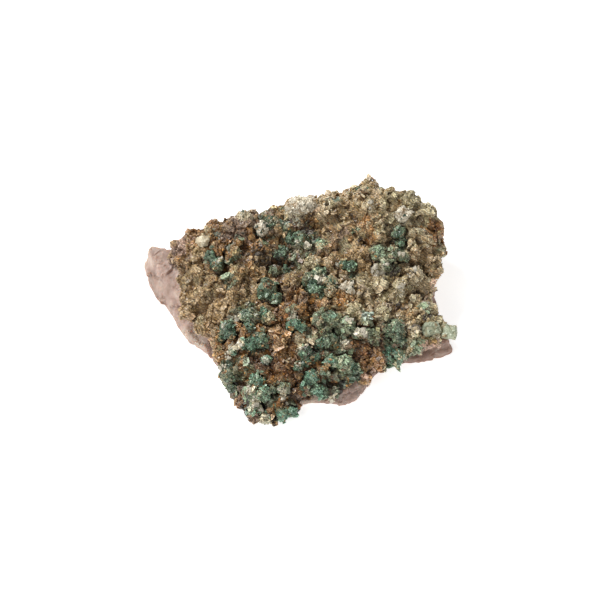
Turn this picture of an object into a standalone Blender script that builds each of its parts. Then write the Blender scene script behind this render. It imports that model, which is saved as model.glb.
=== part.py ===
"""Rosasite specimen: a hand-size plate of pink carbonate rock under a limonite-stained drusy
crust, with clusters of green rosasite balls and a few pale calcite crystals grown on it.

Lengths in the lists and constants are millimetres. X runs along the plate, Y towards its
high back edge, Z up from the face that it rests on.
"""

import math

import bmesh
import bpy
import numpy as np
from mathutils import Euler, Vector, geometry

MM = 0.001

# Driving sizes
GAP = 0.3
RELIEF_REACH = 4.5
EDGE_ROUNDING = 5.0
LUMP_SINK = 0.25
ROUND_GROWTH = 2.0
CRYSTAL_GROWTH = 3.2
MATRIX_GROWTH = 1.7
BALL_CORNERS = 14
BALL_NUDGE = 0.16
LUMP_CORNERS = 11
LUMP_STRETCH = (0.92, 1.08)
LUMP_UNEVENNESS = (0.94, 1.1)
LATTICE_JITTER = 0.22
GOLDEN_ANGLE = math.pi * (3 - math.sqrt(5))

# Rock plate: foot outline as x, y, and how far the top edge leans inwards
MATRIX_OUTLINE = [
    (-42.2, 18.4, 0.4), (-40.2, 20.6, 0.4), (-33.0, 20.2, 0.8), (-27.0, 19.6, 0.8),
    (-18.0, 20.4, 0.6), (-9.0, 22.4, 0.6), (0.0, 25.0, 0.8), (9.0, 26.0, 0.6),
    (18.0, 28.4, 0.8), (25.5, 26.4, 0.8), (33.0, 22.6, 0.8), (34.8, 17.0, 0.8),
    (33.8, 10.0, 0.4), (36.8, 6.6, 0.6), (37.4, 4.0, 0.6), (34.4, 0.8, 0.8),
    (37.0, -4.0, 0.8), (40.2, -7.2, 0.6), (40.9, -9.6, 0.6), (38.2, -11.2, 1.4),
    (34.6, -11.8, 2.0), (30.4, -12.6, 1.8), (26.0, -12.5, 1.2), (22.6, -13.5, 1.0),
    (19.4, -16.4, 1.0), (17.4, -19.8, 1.2), (16.6, -22.2, 1.2), (14.8, -24.0, 1.0),
    (12.0, -25.5, 1.2), (7.0, -25.0, 1.0), (3.4, -25.0, 1.0), (0.2, -25.8, 1.0),
    (-4.4, -28.0, 1.0), (-8.6, -29.2, 1.0), (-11.4, -27.4, 0.8), (-14.4, -23.6, 0.8),
    (-17.4, -17.8, 1.0), (-20.2, -15.0, 1.6), (-22.4, -12.2, 2.0), (-23.8, -9.4, 1.6),
    (-26.0, -7.8, 1.6), (-28.8, -6.8, 2.2), (-31.4, -3.0, 2.6), (-33.8, 1.6, 2.4),
    (-36.2, 5.2, 2.0), (-38.8, 9.2, 2.0), (-41.6, 13.8, 1.4),
]
MATRIX_SPOTS = [
    (-40, 18, 10.8), (-39, 12, 9.2), (-36, 17, 11.2), (-35, 9, 9.4), (-33, 4, 9.0),
    (-31, -1, 8.6), (-28, -5, 8.2), (-25, -8, 7.4), (-22, -12, 6.0), (-31, 16, 10.4),
    (-28, 8, 8.6), (-24, 14, 9.4), (-22, 4, 7.6), (-18, -4, 7.0), (-18, -15, 5.0),
    (-13, -22, 4.4), (-9, -28, 3.4), (-4, -24, 4.4), (4, -23, 4.2), (12, -23, 4.4),
    (17, -21, 3.6), (16, -16, 5.6), (23, -14, 4.6), (30, -12, 5.4), (36, -11, 6.8),
    (39, -9, 6.6), (35, -4, 7.4), (36, 4, 11.0), (33, 10, 9.6), (33, 18, 12.0),
    (25, 23, 14.0), (17, 25, 15.0), (8, 23, 13.6), (0, 21, 12.6), (-10, 18, 11.4),
    (-18, 16, 10.4), (0, 8, 8.6), (12, 8, 9.4), (22, 8, 9.6), (-8, 2, 7.4),
    (6, -6, 7.2), (18, -5, 7.6), (-8, -14, 6.2), (6, -16, 6.0),
]
# Rings of the plate's side from the foot up: share of its height, share of its lean, inset
MATRIX_RINGS = [
    (0.0, 0.0, 0.9), (0.14, -0.25, 0.0), (0.46, 0.1, 0.1), (0.58, 0.62, 0.4), (0.88, 0.8, 0.5),
    (1.0, 1.0, 1.1),
]
MATRIX_EDGE_REACH = 2.0
MATRIX_SIDE_ROUGHNESS = 0.25
MATRIX_RING_SWAY = 0.07
MATRIX_TOP_ROUGHNESS = 0.35
MATRIX_PITCH = 6.0
MATRIX_TOP_INSET = 5.2

# Drusy crust: outline of its core, and the heights of its top and of its lower rim
CRUST_OUTLINE = [
    (-33.6, 18.0), (-31.0, 19.8), (-27.0, 21.0), (-22.6, 22.6), (-18.0, 23.4), (-13.0, 25.2),
    (-9.0, 25.4), (-4.6, 26.6), (0.0, 27.8), (4.6, 28.2), (9.0, 29.0), (13.6, 30.8),
    (18.0, 32.2), (22.4, 32.0), (25.6, 29.8), (30.4, 28.8), (34.6, 26.4), (37.4, 22.4),
    (37.6, 16.4), (35.4, 10.6), (33.6, 6.4), (34.0, 2.6), (35.4, -1.2), (37.8, -4.6),
    (39.0, -7.2), (37.2, -8.6), (34.0, -9.4), (31.0, -11.0), (28.0, -12.6), (24.4, -13.8),
    (20.8, -15.0), (18.4, -17.0), (15.8, -19.2), (15.0, -22.2), (12.8, -24.0), (9.2, -24.4),
    (5.2, -23.8), (1.4, -24.6), (-2.2, -27.2), (-5.2, -29.4), (-8.6, -30.8), (-11.2, -29.6),
    (-13.8, -26.6), (-15.6, -23.0), (-17.8, -18.6), (-19.8, -14.8), (-20.8, -11.2),
    (-22.8, -8.0), (-25.4, -6.0), (-28.0, -4.8), (-29.6, -3.0), (-30.2, 0.0), (-29.8, 3.2),
    (-30.0, 6.2), (-31.8, 8.6), (-33.2, 11.4), (-33.8, 14.6),
]
CRUST_SPOTS = [
    (-37, 17, 12), (-33, 10, 11), (-29, 2, 10.5), (-25, -4, 10), (-30, 17, 16), (-22, 19, 19),
    (-14, 21, 20.4), (-5, 24, 21.2), (4, 26, 22.2), (12, 27, 23.6), (20, 28, 25.2), (29, 26, 23.4),
    (36, 20, 19.4), (-22, 10, 16.5), (-14, 10, 16.5), (-6, 12, 14), (0, 14, 14.5), (6, 16, 16),
    (13, 16, 20), (21, 16, 20), (29, 14, 18), (36, 10, 15), (-24, 2, 13.5), (-16, 2, 13.5),
    (-8, 4, 12.5), (0, 5, 14), (5, 3, 18), (12, 5, 16), (21, 6, 16), (29, 4, 14), (34, 0, 12),
    (-20, -6, 12), (-12, -5, 13.5), (-4, -5, 14.5), (5, -5, 14.5), (13, -6, 15),
    (21, -5, 14.5), (30, -5, 12), (38, -6, 10), (-19, -13, 10), (-11, -12, 12.5),
    (-3, -12, 12.5), (6, -12, 13), (14, -11, 13.5), (24, -10, 11), (33, -10, 9),
    (-16, -20, 8.5), (-8, -19, 10), (0, -19, 9.5), (8, -19, 10.5), (15, -17, 8.5),
    (-12, -27, 7), (-5, -26, 6.5), (4, -24, 6), (11, -23, 7),
]
CRUST_RIM_SPOTS = [
    (-36, 18, 7.5), (-20, 23, 8.0), (0, 28, 8.5), (20, 32, 9.5), (36, 26, 7.5), (38, 10, 4.0),
    (36, 0, 3.0), (40, -8, 5.4), (33, -10, 4.4), (27, -14, 1.4), (20, -17, 1.0), (17, -20, 1.8),
    (12, -25, 1.4), (0, -25, 1.2), (-8, -31, 0.7), (-16, -24, 0.9), (-20, -15, 2.2),
    (-24, -8, 6.0), (-29, -5, 6.8), (-32, 0, 7.2), (-35, 9, 7.6),
]
CRUST_TRIANGLES = 4260
CRUST_PITCH = 3.3
CRUST_CORE_DROP = 0.5
CRUST_ROUGHNESS = 0.8
CRUST_FOOT_INSET = 0.7
CRUST_MIDDLE = 0.6
CRUST_TOP_INSET = 1.6
CRUST_INNER_INSET = 3.4
CRUST_RIM_SHARE = 0.35

# Lumps of the crust that stand out by themselves: x, y, radius, lift over the crust's top
CRUST_LUMPS = [
    (-33.0, 16.6, 2.0, 0.2), (-35.0, 13.4, 1.5, 0.4), (-30.4, 16.8, 2.2, 0.3),
    (-31.4, 12.4, 2.4, 0.2), (-28.0, 11.0, 2.5, 0.2), (-26.6, 8.4, 2.2, 0.0),
    (-29.6, 6.8, 2.0, 0.1), (-23.4, 19.2, 2.2, 0.4), (-21.4, 12.8, 2.6, 0.7),
    (-17.0, 20.0, 2.6, 0.3), (-22.4, 4.2, 2.9, 0.5), (-16.4, 6.4, 3.1, 0.6),
    (-12.2, 8.6, 2.4, 0.3), (-17.2, 0.8, 3.0, 0.5), (-26.2, 1.0, 2.3, 0.2),
    (-28.8, -2.4, 2.1, 0.2), (-11.6, 13.4, 2.8, 0.9), (-13.0, 18.6, 2.3, 0.3),
    (-2.2, 3.0, 3.0, 0.4), (-0.2, -1.0, 1.6, 1.0), (3.2, 9.2, 2.3, 0.4),
    (7.2, 13.6, 2.4, 0.4), (11.0, 18.0, 3.0, 0.2), (17.6, 18.4, 2.8, 0.5),
    (21.8, 15.6, 2.5, 0.6), (19.0, 22.4, 2.8, 0.5), (23.6, 26.4, 2.5, 0.8),
    (17.2, 25.8, 2.4, 0.4), (28.8, 25.6, 2.8, 0.5), (33.8, 24.0, 2.4, 0.4),
    (22.4, 22.8, 1.6, 0.8), (30.8, 17.2, 2.4, 0.5), (34.4, 16.0, 2.3, 0.4),
    (35.0, 11.6, 3.0, 0.3), (30.2, 6.0, 2.6, 0.4), (26.4, 3.2, 2.3, 0.4),
    (33.4, -1.6, 2.1, 0.5), (36.6, 19.4, 2.0, 0.2), (17.0, 0.2, 2.7, 0.5),
    (14.4, -4.6, 2.5, 0.4), (18.2, -7.2, 2.0, 0.6), (22.4, -5.4, 2.7, 0.6),
    (32.2, -10.6, 2.0, 0.4), (-3.2, -5.6, 2.1, 0.3), (-5.2, -13.6, 2.3, 0.2),
    (-13.6, -17.4, 2.6, 0.1), (-9.6, -20.4, 1.9, 0.1), (-4.2, -20.2, 2.2, 0.2),
    (-15.2, -26.2, 1.8, 0.0), (19.4, -16.0, 2.0, 0.3), (5.6, -19.6, 1.5, 0.2),
    (9.0, 23.6, 2.5, 0.4), (5.8, 22.6, 2.2, 0.3), (12.8, -14.6, 1.6, 0.0),
]
CRUST_FILL_PITCH = 6.4
CRUST_FILL_INSET = 2.4
CRUST_FILL_RADIUS = (1.9, 2.8)
CRUST_FILL_LIFT = (-0.1, 0.6)
CRUST_CROWDING = 0.62

# Lumps round the crust's side: one row of them where it is low, two where it is high
RIM_PITCH = 5.6
RIM_RADIUS = (2.0, 2.8)
RIM_JITTER = 0.8
RIM_CLEARANCE = 0.3
RIM_ROW = (0.4,)
RIM_TWO_ROWS = (0.2, 0.62)
RIM_TWO_ROWS_FROM = 7.0

# Hollows between the lumps: x, y, half length, half width, depth, turn in degrees
CRUST_HOLLOWS = [
    (-9.6, 10.6, 4.6, 1.5, 3.8, 26), (-1.6, 9.0, 4.0, 1.7, 4.0, 10),
    (2.6, 20.4, 4.4, 1.6, 4.0, -6), (9.8, -2.2, 3.0, 1.1, 3.4, 4),
    (16.4, 13.4, 3.6, 1.3, 3.6, 18), (26.4, 6.8, 3.0, 1.2, 3.2, -4),
    (19.8, -2.6, 1.0, 5.0, 3.4, 0), (-16.6, 3.6, 2.0, 0.8, 2.8, 22),
    (2.8, -11.6, 1.9, 1.3, 3.4, -40), (-14.0, -28.0, 1.8, 1.3, 3.0, 30),
    (27.4, -2.6, 1.6, 1.2, 3.0, 20), (5.4, -19.2, 3.4, 1.0, 2.8, 16),
]
HOLLOW_CORNERS = 14
HOLLOW_LIFT = 0.4

# Rosasite clusters: each is a list of balls, as x, y, radius, lift over the crust's top
ROSASITE_CLUSTERS = [
    [(-23.8, 11.2, 1.6, 0.9), (-21.6, 9.0, 2.2, 0.6)],
    [(-17.6, 12.2, 2.7, 0.6), (-16.2, 15.0, 1.6, 0.7), (-18.8, 10.2, 1.6, 0.2)],
    [(-4.8, 13.2, 2.3, 1.1), (-1.8, 12.0, 1.4, 0.3)],
    [(0.2, 17.2, 2.3, 0.8), (4.2, 17.2, 1.7, 0.6), (-2.6, 17.0, 1.2, 0.3), (2.4, 15.0, 1.3, 0.5)],
    [(-8.2, 2.2, 3.1, 0.9), (-6.2, -0.6, 1.8, 0.4)],
    [(-6.3, 8.2, 1.6, 0.6), (-3.8, 8.4, 1.3, 0.2)],
    [(5.3, 6.0, 2.1, -0.2), (3.2, 3.6, 2.7, -0.4), (8.0, 2.5, 2.5, 0.1), (4.2, 0.2, 2.3, 0.0),
     (8.2, 0.3, 1.7, 0.1)],
    [(12.0, 8.1, 1.5, 0.5), (14.0, 7.7, 1.6, 0.6), (15.0, 5.3, 1.3, 0.4)],
    [(21.4, 11.0, 2.5, 1.0), (24.7, 10.8, 2.4, 1.0), (27.9, 10.8, 1.8, 0.8),
     (23.0, 8.3, 1.9, 0.6), (20.6, 7.4, 1.2, 0.5)],
    [(26.6, 16.8, 2.1, 0.8), (27.2, 14.5, 1.5, 0.3)],
    [(-9.0, -4.6, 1.4, 0.3), (-8.0, -6.6, 2.0, 0.4), (-13.6, -5.6, 2.4, 0.6),
     (-11.2, -6.2, 1.6, 0.4), (-12.8, -8.8, 1.8, 0.2)],
    [(-18.6, -8.4, 2.2, 0.3), (-20.3, -10.0, 1.5, 0.2), (-17.6, -10.4, 1.5, 0.3)],
    [(-12.0, -13.3, 2.0, 0.4), (-9.4, -12.6, 2.4, 0.5), (-14.6, -13.4, 1.7, 0.4),
     (-17.0, -14.4, 1.5, 0.5)],
    [(-18.2, -17.6, 2.1, 0.5), (-19.8, -16.4, 1.4, 0.4)],
    [(-1.4, -8.6, 2.3, 0.7), (0.8, -9.4, 1.6, 0.3)],
    [(5.6, -7.6, 2.5, 0.9), (8.8, -7.7, 2.5, 1.0), (7.0, -10.4, 1.8, 0.3),
     (12.6, -9.6, 2.5, 1.0), (15.4, -11.2, 1.8, 0.7), (17.9, -11.3, 2.0, 0.7),
     (20.3, -11.2, 1.6, 0.6), (8.0, -12.8, 2.3, 0.4), (5.4, -13.4, 1.4, 0.3)],
    [(25.4, -9.2, 3.0, 0.8), (26.7, -11.3, 1.8, 0.4)],
    [(23.2, -14.0, 2.1, 0.9), (25.2, -14.6, 1.9, 1.1)],
    [(1.8, -15.7, 2.1, 0.3), (4.4, -16.9, 1.5, 0.2), (2.0, -17.6, 1.6, 0.1),
     (0.0, -19.1, 1.5, 0.3)],
    [(8.5, -18.0, 2.1, 0.5), (12.0, -18.3, 2.5, 0.6), (14.5, -18.8, 1.5, 0.5),
     (14.9, -21.3, 1.6, 0.5)],
    [(3.4, -21.4, 2.2, 0.5), (1.7, -23.2, 1.5, 0.5), (4.6, -23.6, 1.8, 0.9),
     (6.6, -24.0, 1.7, 0.9), (7.3, -22.2, 1.5, 0.4), (9.2, -23.8, 1.7, 0.9),
     (11.2, -22.6, 1.6, 0.5), (13.0, -24.0, 1.8, 0.9)],
    [(-4.0, -24.6, 1.9, 0.4)],
    [(-10.8, -23.2, 2.3, 0.6), (-9.0, -26.2, 2.3, 0.8), (-12.3, -26.2, 2.6, 0.9),
     (-11.5, -29.0, 2.2, 0.9), (-8.8, -31.2, 1.8, 0.9)],
    [(-4.5, -30.2, 1.9, 0.9), (-2.2, -29.2, 1.8, 0.8)],
    [(-17.0, -22.2, 2.0, 0.6), (-16.2, -24.4, 1.6, 0.4)],
    [(-8.4, -17.8, 1.6, 0.4)],
]

# Calcite pieces: name, shape, place of the middle, size along its own axes, tilt in degrees
CALCITE_PIECES = [
    ("calcite_crystal_left", "prism", (-25.7, 15.5, 17.3), (3.0, 2.9, 5.6), (38, 12, 24)),
    ("calcite_crystal_back_right", "rhomb", (27.8, 20.8, 22.6), (3.0, 2.7, 3.0), (20, -15, 35)),
    ("calcite_slab_back", "slab", (0.6, 24.6, 21.4), (8.8, 4.6, 3.0), (-24, 4, 8)),
    ("calcite_wedge_middle", "wedge", (12.9, 1.4, 16.4), (4.4, 3.6, 3.4), (15, 8, -32)),
    ("calcite_block_right", "rhomb", (35.0, -7.4, 9.4), (3.9, 3.0, 3.1), (12, 6, 12)),
    ("calcite_block_end", "rhomb", (39.7, -8.3, 9.2), (3.8, 3.2, 3.3), (16, -8, -14)),
]

# Calcite lumps: name, balls as above, and a pit in the top, as a ball too
CALCITE_LUMPS = [
    ("calcite_lump_hollow", [(-14.9, 22.0, 2.3, 0.8)], (-14.0, 21.8, 0.8, 1.6)),
    ("calcite_lump_speckled", [(-9.9, 18.5, 1.9, 0.7), (-9.4, 15.8, 1.4, 0.8)], None),
]
PIT_CORNERS = 12

COLOURS = {
    "matrix": ((0.52, 0.37, 0.31), 0.55),
    "crust": ((0.24, 0.17, 0.09), 0.45),
    "rosasite": ((0.10, 0.24, 0.17), 0.40),
    "calcite": ((0.62, 0.62, 0.54), 0.25),
}


def clear_scene():
    for obj in list(bpy.data.objects):
        bpy.data.objects.remove(obj, do_unlink=True)


def make_material(name):
    colour, roughness = COLOURS[name]
    material = bpy.data.materials.new(name)
    material.use_nodes = True
    shader = material.node_tree.nodes["Principled BSDF"]
    shader.inputs["Base Color"].default_value = (*colour, 1)
    shader.inputs["Roughness"].default_value = roughness
    shader.inputs["Metallic"].default_value = 0.0
    material.diffuse_color = (*colour, 1)
    return material


def mesh_object(name, points, faces):
    """A mesh object from points in millimetres, its faces turned outwards."""
    mesh = bpy.data.meshes.new(name)
    mesh.from_pydata([tuple(MM * value for value in point) for point in points], [], faces)
    shape = bmesh.new()
    shape.from_mesh(mesh)
    bmesh.ops.recalc_face_normals(shape, faces=shape.faces)
    shape.to_mesh(mesh)
    shape.free()
    obj = bpy.data.objects.new(name, mesh)
    bpy.context.scene.collection.objects.link(obj)
    return obj


def height(spots, x, y):
    """Height at x, y: an average of the spots near it, weighted by a bell curve."""
    spots = np.asarray(spots, float)
    distance = (spots[:, 0] - x) ** 2 + (spots[:, 1] - y) ** 2
    weight = np.exp(-(distance - distance.min()) / (2 * RELIEF_REACH**2))
    return float((weight * spots[:, 2]).sum() / weight.sum())


def edge_distance(outline, x, y):
    """Distance from x, y to the nearest side of a closed outline."""
    starts = np.asarray(outline, float)[:, :2]
    sides = np.roll(starts, -1, axis=0) - starts
    reach = np.array((x, y)) - starts
    along = np.clip((reach * sides).sum(axis=1) / (sides**2).sum(axis=1), 0, 1)
    return float(np.linalg.norm(reach - sides * along[:, None], axis=1).min())


def inside(outline, x, y):
    """Whether x, y lies inside a closed outline."""
    starts = np.asarray(outline, float)[:, :2]
    ends = np.roll(starts, -1, axis=0)
    crosses = (starts[:, 1] > y) != (ends[:, 1] > y)
    rise = np.where(crosses, ends[:, 1] - starts[:, 1], 1)
    at = starts[:, 0] + (y - starts[:, 1]) / rise * (ends[:, 0] - starts[:, 0])
    return bool((crosses & (at > x)).sum() % 2)


def crust_top(x, y):
    """Height of the crust's top, which rounds off towards its outline."""
    low = height(CRUST_RIM_SPOTS, x, y)
    high = height(CRUST_SPOTS, x, y)
    if not inside(CRUST_OUTLINE, x, y):
        return low + CRUST_RIM_SHARE * (high - low)
    near = max(0.0, 1 - edge_distance(CRUST_OUTLINE, x, y) / EDGE_ROUNDING)
    rounded = CRUST_RIM_SHARE + (1 - CRUST_RIM_SHARE) * math.sqrt(1 - near**2)
    return low + (high - low) * rounded


def inward_normals(outline):
    """Unit vectors that point into an outline, one at each of its points."""
    points = np.asarray(outline, float)[:, :2]
    along = np.roll(points, -1, axis=0) - np.roll(points, 1, axis=0)
    normals = np.stack([-along[:, 1], along[:, 0]], axis=1)
    normals /= np.linalg.norm(normals, axis=1)[:, None]
    area = np.cross(points, np.roll(points, -1, axis=0)).sum()
    return normals * np.sign(area)


def lattice(outline, pitch, margin, seed):
    """Points of a jittered triangular lattice that lie inside an outline by a margin."""
    rng = np.random.default_rng(seed)
    low = np.min(outline, axis=0)
    high = np.max(outline, axis=0)
    points = []
    for row, y in enumerate(np.arange(low[1], high[1], pitch * math.sqrt(0.75))):
        for x in np.arange(low[0] + pitch / 2 * (row % 2), high[0], pitch):
            spot = np.array((x, y)) + rng.uniform(-1, 1, 2) * LATTICE_JITTER * pitch
            if inside(outline, *spot) and edge_distance(outline, *spot) > margin:
                points.append(tuple(spot))
    return points


def slab(name, rings, heights, inner, top_of):
    """A closed slab: stacked rings of points from the foot up, then a triangulated top."""
    count = len(rings[0])
    points = []
    for ring, levels in zip(rings, heights):
        points += [(x, y, z) for (x, y), z in zip(ring, levels)]
    faces = [tuple(range(count))]
    for layer in range(len(rings) - 1):
        for i in range(count):
            j = (i + 1) % count
            low = layer * count
            faces.append((low + i, low + j, low + count + j, low + count + i))
    rim = [Vector(spot) for spot in rings[-1]]
    plan = rim + [Vector(spot) for spot in inner]
    edges = [(i, (i + 1) % count) for i in range(count)]
    spots, _, triangles, sources, _, _ = geometry.delaunay_2d_cdt(plan, edges, [], 1, 1e-6)
    start = (len(rings) - 1) * count
    index = []
    for spot, source in zip(spots, sources):
        if source and source[0] < count:
            index.append(start + source[0])
        else:
            index.append(len(points))
            points.append((spot.x, spot.y, top_of(spot.x, spot.y)))
    faces += [tuple(index[corner] for corner in triangle) for triangle in triangles]
    return mesh_object(name, points, faces)


def make_matrix():
    """The rock plate, with a flat foot, a broken ledge round its side and a low uneven top."""
    outline = np.array(MATRIX_OUTLINE)[:, :2]
    lean = np.array(MATRIX_OUTLINE)[:, 2]
    normals = inward_normals(outline)
    rng = np.random.default_rng(16)
    edge = np.array([height(MATRIX_SPOTS, *spot) for spot in outline + normals * MATRIX_EDGE_REACH])
    rings = []
    heights = []
    for level, share, inset in MATRIX_RINGS:
        rough = rng.uniform(-1, 1, len(outline)) * MATRIX_SIDE_ROUGHNESS * (level > 0)
        sway = rng.uniform(-1, 1, len(outline)) * MATRIX_RING_SWAY * (0 < level < 1)
        rings.append((outline + normals * (lean * share + inset + rough)[:, None]).tolist())
        heights.append((edge * (level + sway)).tolist())
    inner = lattice(outline, MATRIX_PITCH, MATRIX_TOP_INSET, 12)
    rough_top = np.random.default_rng(13)

    def top_of(x, y):
        return height(MATRIX_SPOTS, x, y) + rough_top.uniform(-1, 1) * MATRIX_TOP_ROUGHNESS

    return slab("matrix", rings, heights, inner, top_of)


def crust_core():
    """The body of the crust, which its lumps grow from."""
    outline = np.array(CRUST_OUTLINE)
    normals = inward_normals(outline)
    top_ring = outline + normals * CRUST_TOP_INSET
    low = [height(CRUST_RIM_SPOTS, *spot) for spot in outline]
    high = [crust_top(*spot) - CRUST_CORE_DROP for spot in top_ring]
    middle = [bottom + CRUST_MIDDLE * (top - bottom) for bottom, top in zip(low, high)]
    foot_ring = outline + normals * CRUST_FOOT_INSET
    rings = [foot_ring.tolist(), outline.tolist(), top_ring.tolist()]
    inner = lattice(outline, CRUST_PITCH, CRUST_INNER_INSET, 21)
    rough = np.random.default_rng(22)

    def top_of(x, y):
        return crust_top(x, y) - CRUST_CORE_DROP + rough.uniform(-1, 1) * CRUST_ROUGHNESS

    return slab("crust", rings, [low, middle, high], inner, top_of)


def ball_directions(count, rng):
    """Directions spread over a ball, each nudged aside, so that hulls of them look broken."""
    directions = []
    for i in range(count):
        z = 1 - 2 * (i + 0.5) / count
        ring = math.sqrt(1 - z * z)
        turn = i * GOLDEN_ANGLE
        direction = np.array((ring * math.cos(turn), ring * math.sin(turn), z))
        direction += rng.uniform(-1, 1, 3) * BALL_NUDGE
        directions.append(direction / np.linalg.norm(direction))
    return np.array(directions)


def lump_points(centre, radius, corners, seed, growth=0.0):
    """Corners of one lump: a ball of uneven radius, turned at random."""
    rng = np.random.default_rng(seed)
    directions = ball_directions(corners, rng)
    turn = np.array(Euler(rng.uniform(-math.pi, math.pi, 3)).to_matrix())
    stretch = rng.uniform(*LUMP_STRETCH, 3)
    reach = radius * rng.uniform(*LUMP_UNEVENNESS, corners)
    points = directions * stretch * reach[:, None]
    points += directions * growth
    return points @ turn.T + np.array(centre)


def hull_faces(points):
    """Points and faces of the convex hull."""
    shape = bmesh.new()
    for point in points:
        shape.verts.new(point)
    bmesh.ops.convex_hull(shape, input=shape.verts)
    loose = [vert for vert in shape.verts if not vert.link_faces]
    bmesh.ops.delete(shape, geom=loose, context="VERTS")
    shape.verts.index_update()
    corners = [tuple(vert.co) for vert in shape.verts]
    faces = [tuple(vert.index for vert in face.verts) for face in shape.faces]
    shape.free()
    return corners, faces


def hulls_object(name, point_sets):
    """One object with the convex hull of each set of points, still overlapping."""
    points = []
    faces = []
    for point_set in point_sets:
        corners, hull = hull_faces(point_set)
        faces += [tuple(len(points) + i for i in face) for face in hull]
        points += corners
    return mesh_object(name, points, faces)


def combine(obj, other, operation, overlapping=True):
    """Applies a Boolean of obj with other, deletes other and keeps the one main body."""
    modifier = obj.modifiers.new("combine", "BOOLEAN")
    modifier.operation = operation
    modifier.solver = "EXACT"
    modifier.use_self = overlapping
    modifier.object = other
    graph = bpy.context.evaluated_depsgraph_get()
    result = bpy.data.meshes.new_from_object(obj.evaluated_get(graph))
    obj.modifiers.clear()
    obj.data = result
    result.name = obj.name
    bpy.data.objects.remove(other, do_unlink=True)
    keep_main_body(obj)


def simplify(obj, triangles):
    """Collapses the shortest and flattest edges until about that many triangles are left."""
    shape = bmesh.new()
    shape.from_mesh(obj.data)
    bmesh.ops.triangulate(shape, faces=shape.faces)
    shape.to_mesh(obj.data)
    shape.free()
    modifier = obj.modifiers.new("simplify", "DECIMATE")
    modifier.ratio = min(1.0, triangles / len(obj.data.polygons))
    graph = bpy.context.evaluated_depsgraph_get()
    obj.data = bpy.data.meshes.new_from_object(obj.evaluated_get(graph))
    obj.modifiers.clear()


def keep_main_body(obj):
    """Deletes the chips that a Boolean cut loose from the largest body."""
    shape = bmesh.new()
    shape.from_mesh(obj.data)
    unseen = set(shape.faces)
    bodies = []
    while unseen:
        body = []
        front = [unseen.pop()]
        while front:
            face = front.pop()
            body.append(face)
            sides = [edge for edge in face.edges if len(edge.link_faces) == 2]
            neighbours = {other for edge in sides for other in edge.link_faces} & unseen
            unseen -= neighbours
            front += neighbours
        bodies.append(body)
    main = max(bodies, key=lambda body: sum(face.calc_area() for face in body))
    chips = [face for body in bodies if body is not main for face in body]
    bmesh.ops.delete(shape, geom=chips, context="FACES")
    shape.to_mesh(obj.data)
    shape.free()


def grown_copy(obj, growth):
    """A copy of an object whose surface stands out by a growth, to cut a clear seat for it."""
    copy = obj.copy()
    copy.data = obj.data.copy()
    bpy.context.scene.collection.objects.link(copy)
    shape = bmesh.new()
    shape.from_mesh(copy.data)
    bmesh.ops.recalc_face_normals(shape, faces=shape.faces)
    shape.normal_update()
    moved = [vert.co + vert.normal * growth * MM for vert in shape.verts]
    for vert, place in zip(shape.verts, moved):
        vert.co = place
    shape.to_mesh(copy.data)
    shape.free()
    return copy


def keep_clear(obj, seats):
    """Cuts away what reaches into the seats of pieces made before."""
    points = np.array([tuple(vert.co) for vert in obj.data.vertices]) / MM
    low = points.min(axis=0)
    high = points.max(axis=0)
    near = []
    for seat in seats:
        if (seat.min(axis=0) < high).all() and (seat.max(axis=0) > low).all():
            near.append(seat)
    if near:
        combine(obj, hulls_object("near", near), "DIFFERENCE")


def ball_sets(balls, seed, corners, growth=0.0):
    """The corners of each ball of a group, set on the crust's top."""
    sets = []
    for number, (x, y, radius, lift) in enumerate(balls):
        centre = (x, y, crust_top(x, y) - LUMP_SINK * radius + lift)
        sets.append(lump_points(centre, radius, corners, seed + number, growth))
    return sets


def crystal_points(shape, place, size, tilt, growth=0.0):
    """Corners of one calcite piece: a pointed prism, a leaning block, a slab or a wedge."""
    half = np.array(size) / 2
    if shape == "prism":
        ring = [(math.cos(k * math.pi / 3), math.sin(k * math.pi / 3)) for k in range(6)]
        corners = [(x, y, -0.9) for x, y in ring] + [(x, y, 0.45) for x, y in ring]
        corners += [(0.25, 0.1, 1.0), (-0.2, -0.15, 0.92)]
    elif shape == "rhomb":
        signs = (-1, 1)
        corners = [(x + 0.18 * z, y - 0.1 * z, z) for x in signs for y in signs for z in signs]
        corners = corners[:-1] + [(0.9, 0.9, 0.75), (0.7, 0.9, 1.0)]
    elif shape == "slab":
        corners = [(-1, -0.5, -0.8), (-0.7, 0.9, -1), (0.8, 1, -0.8), (1, -0.3, -1)]
        corners += [(0.1, -1, -0.9), (-0.9, -0.3, 0.7), (-0.5, 0.8, 0.9), (0.7, 0.9, 1)]
        corners += [(0.85, -0.2, 0.8), (0, -0.9, 0.6)]
    else:
        corners = [(-1, -0.9, -1), (1, -0.8, -1), (0.1, 1, -1), (-0.85, -0.8, 0.5)]
        corners += [(0.8, -0.6, 0.8), (0.05, 0.8, 1.0), (-0.5, 0.1, 0.9)]
    points = np.array(corners) * half
    points += points / np.linalg.norm(points, axis=1)[:, None] * growth
    turn = np.array(Euler([math.radians(angle) for angle in tilt]).to_matrix())
    return points @ turn.T + np.array(place)


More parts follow.
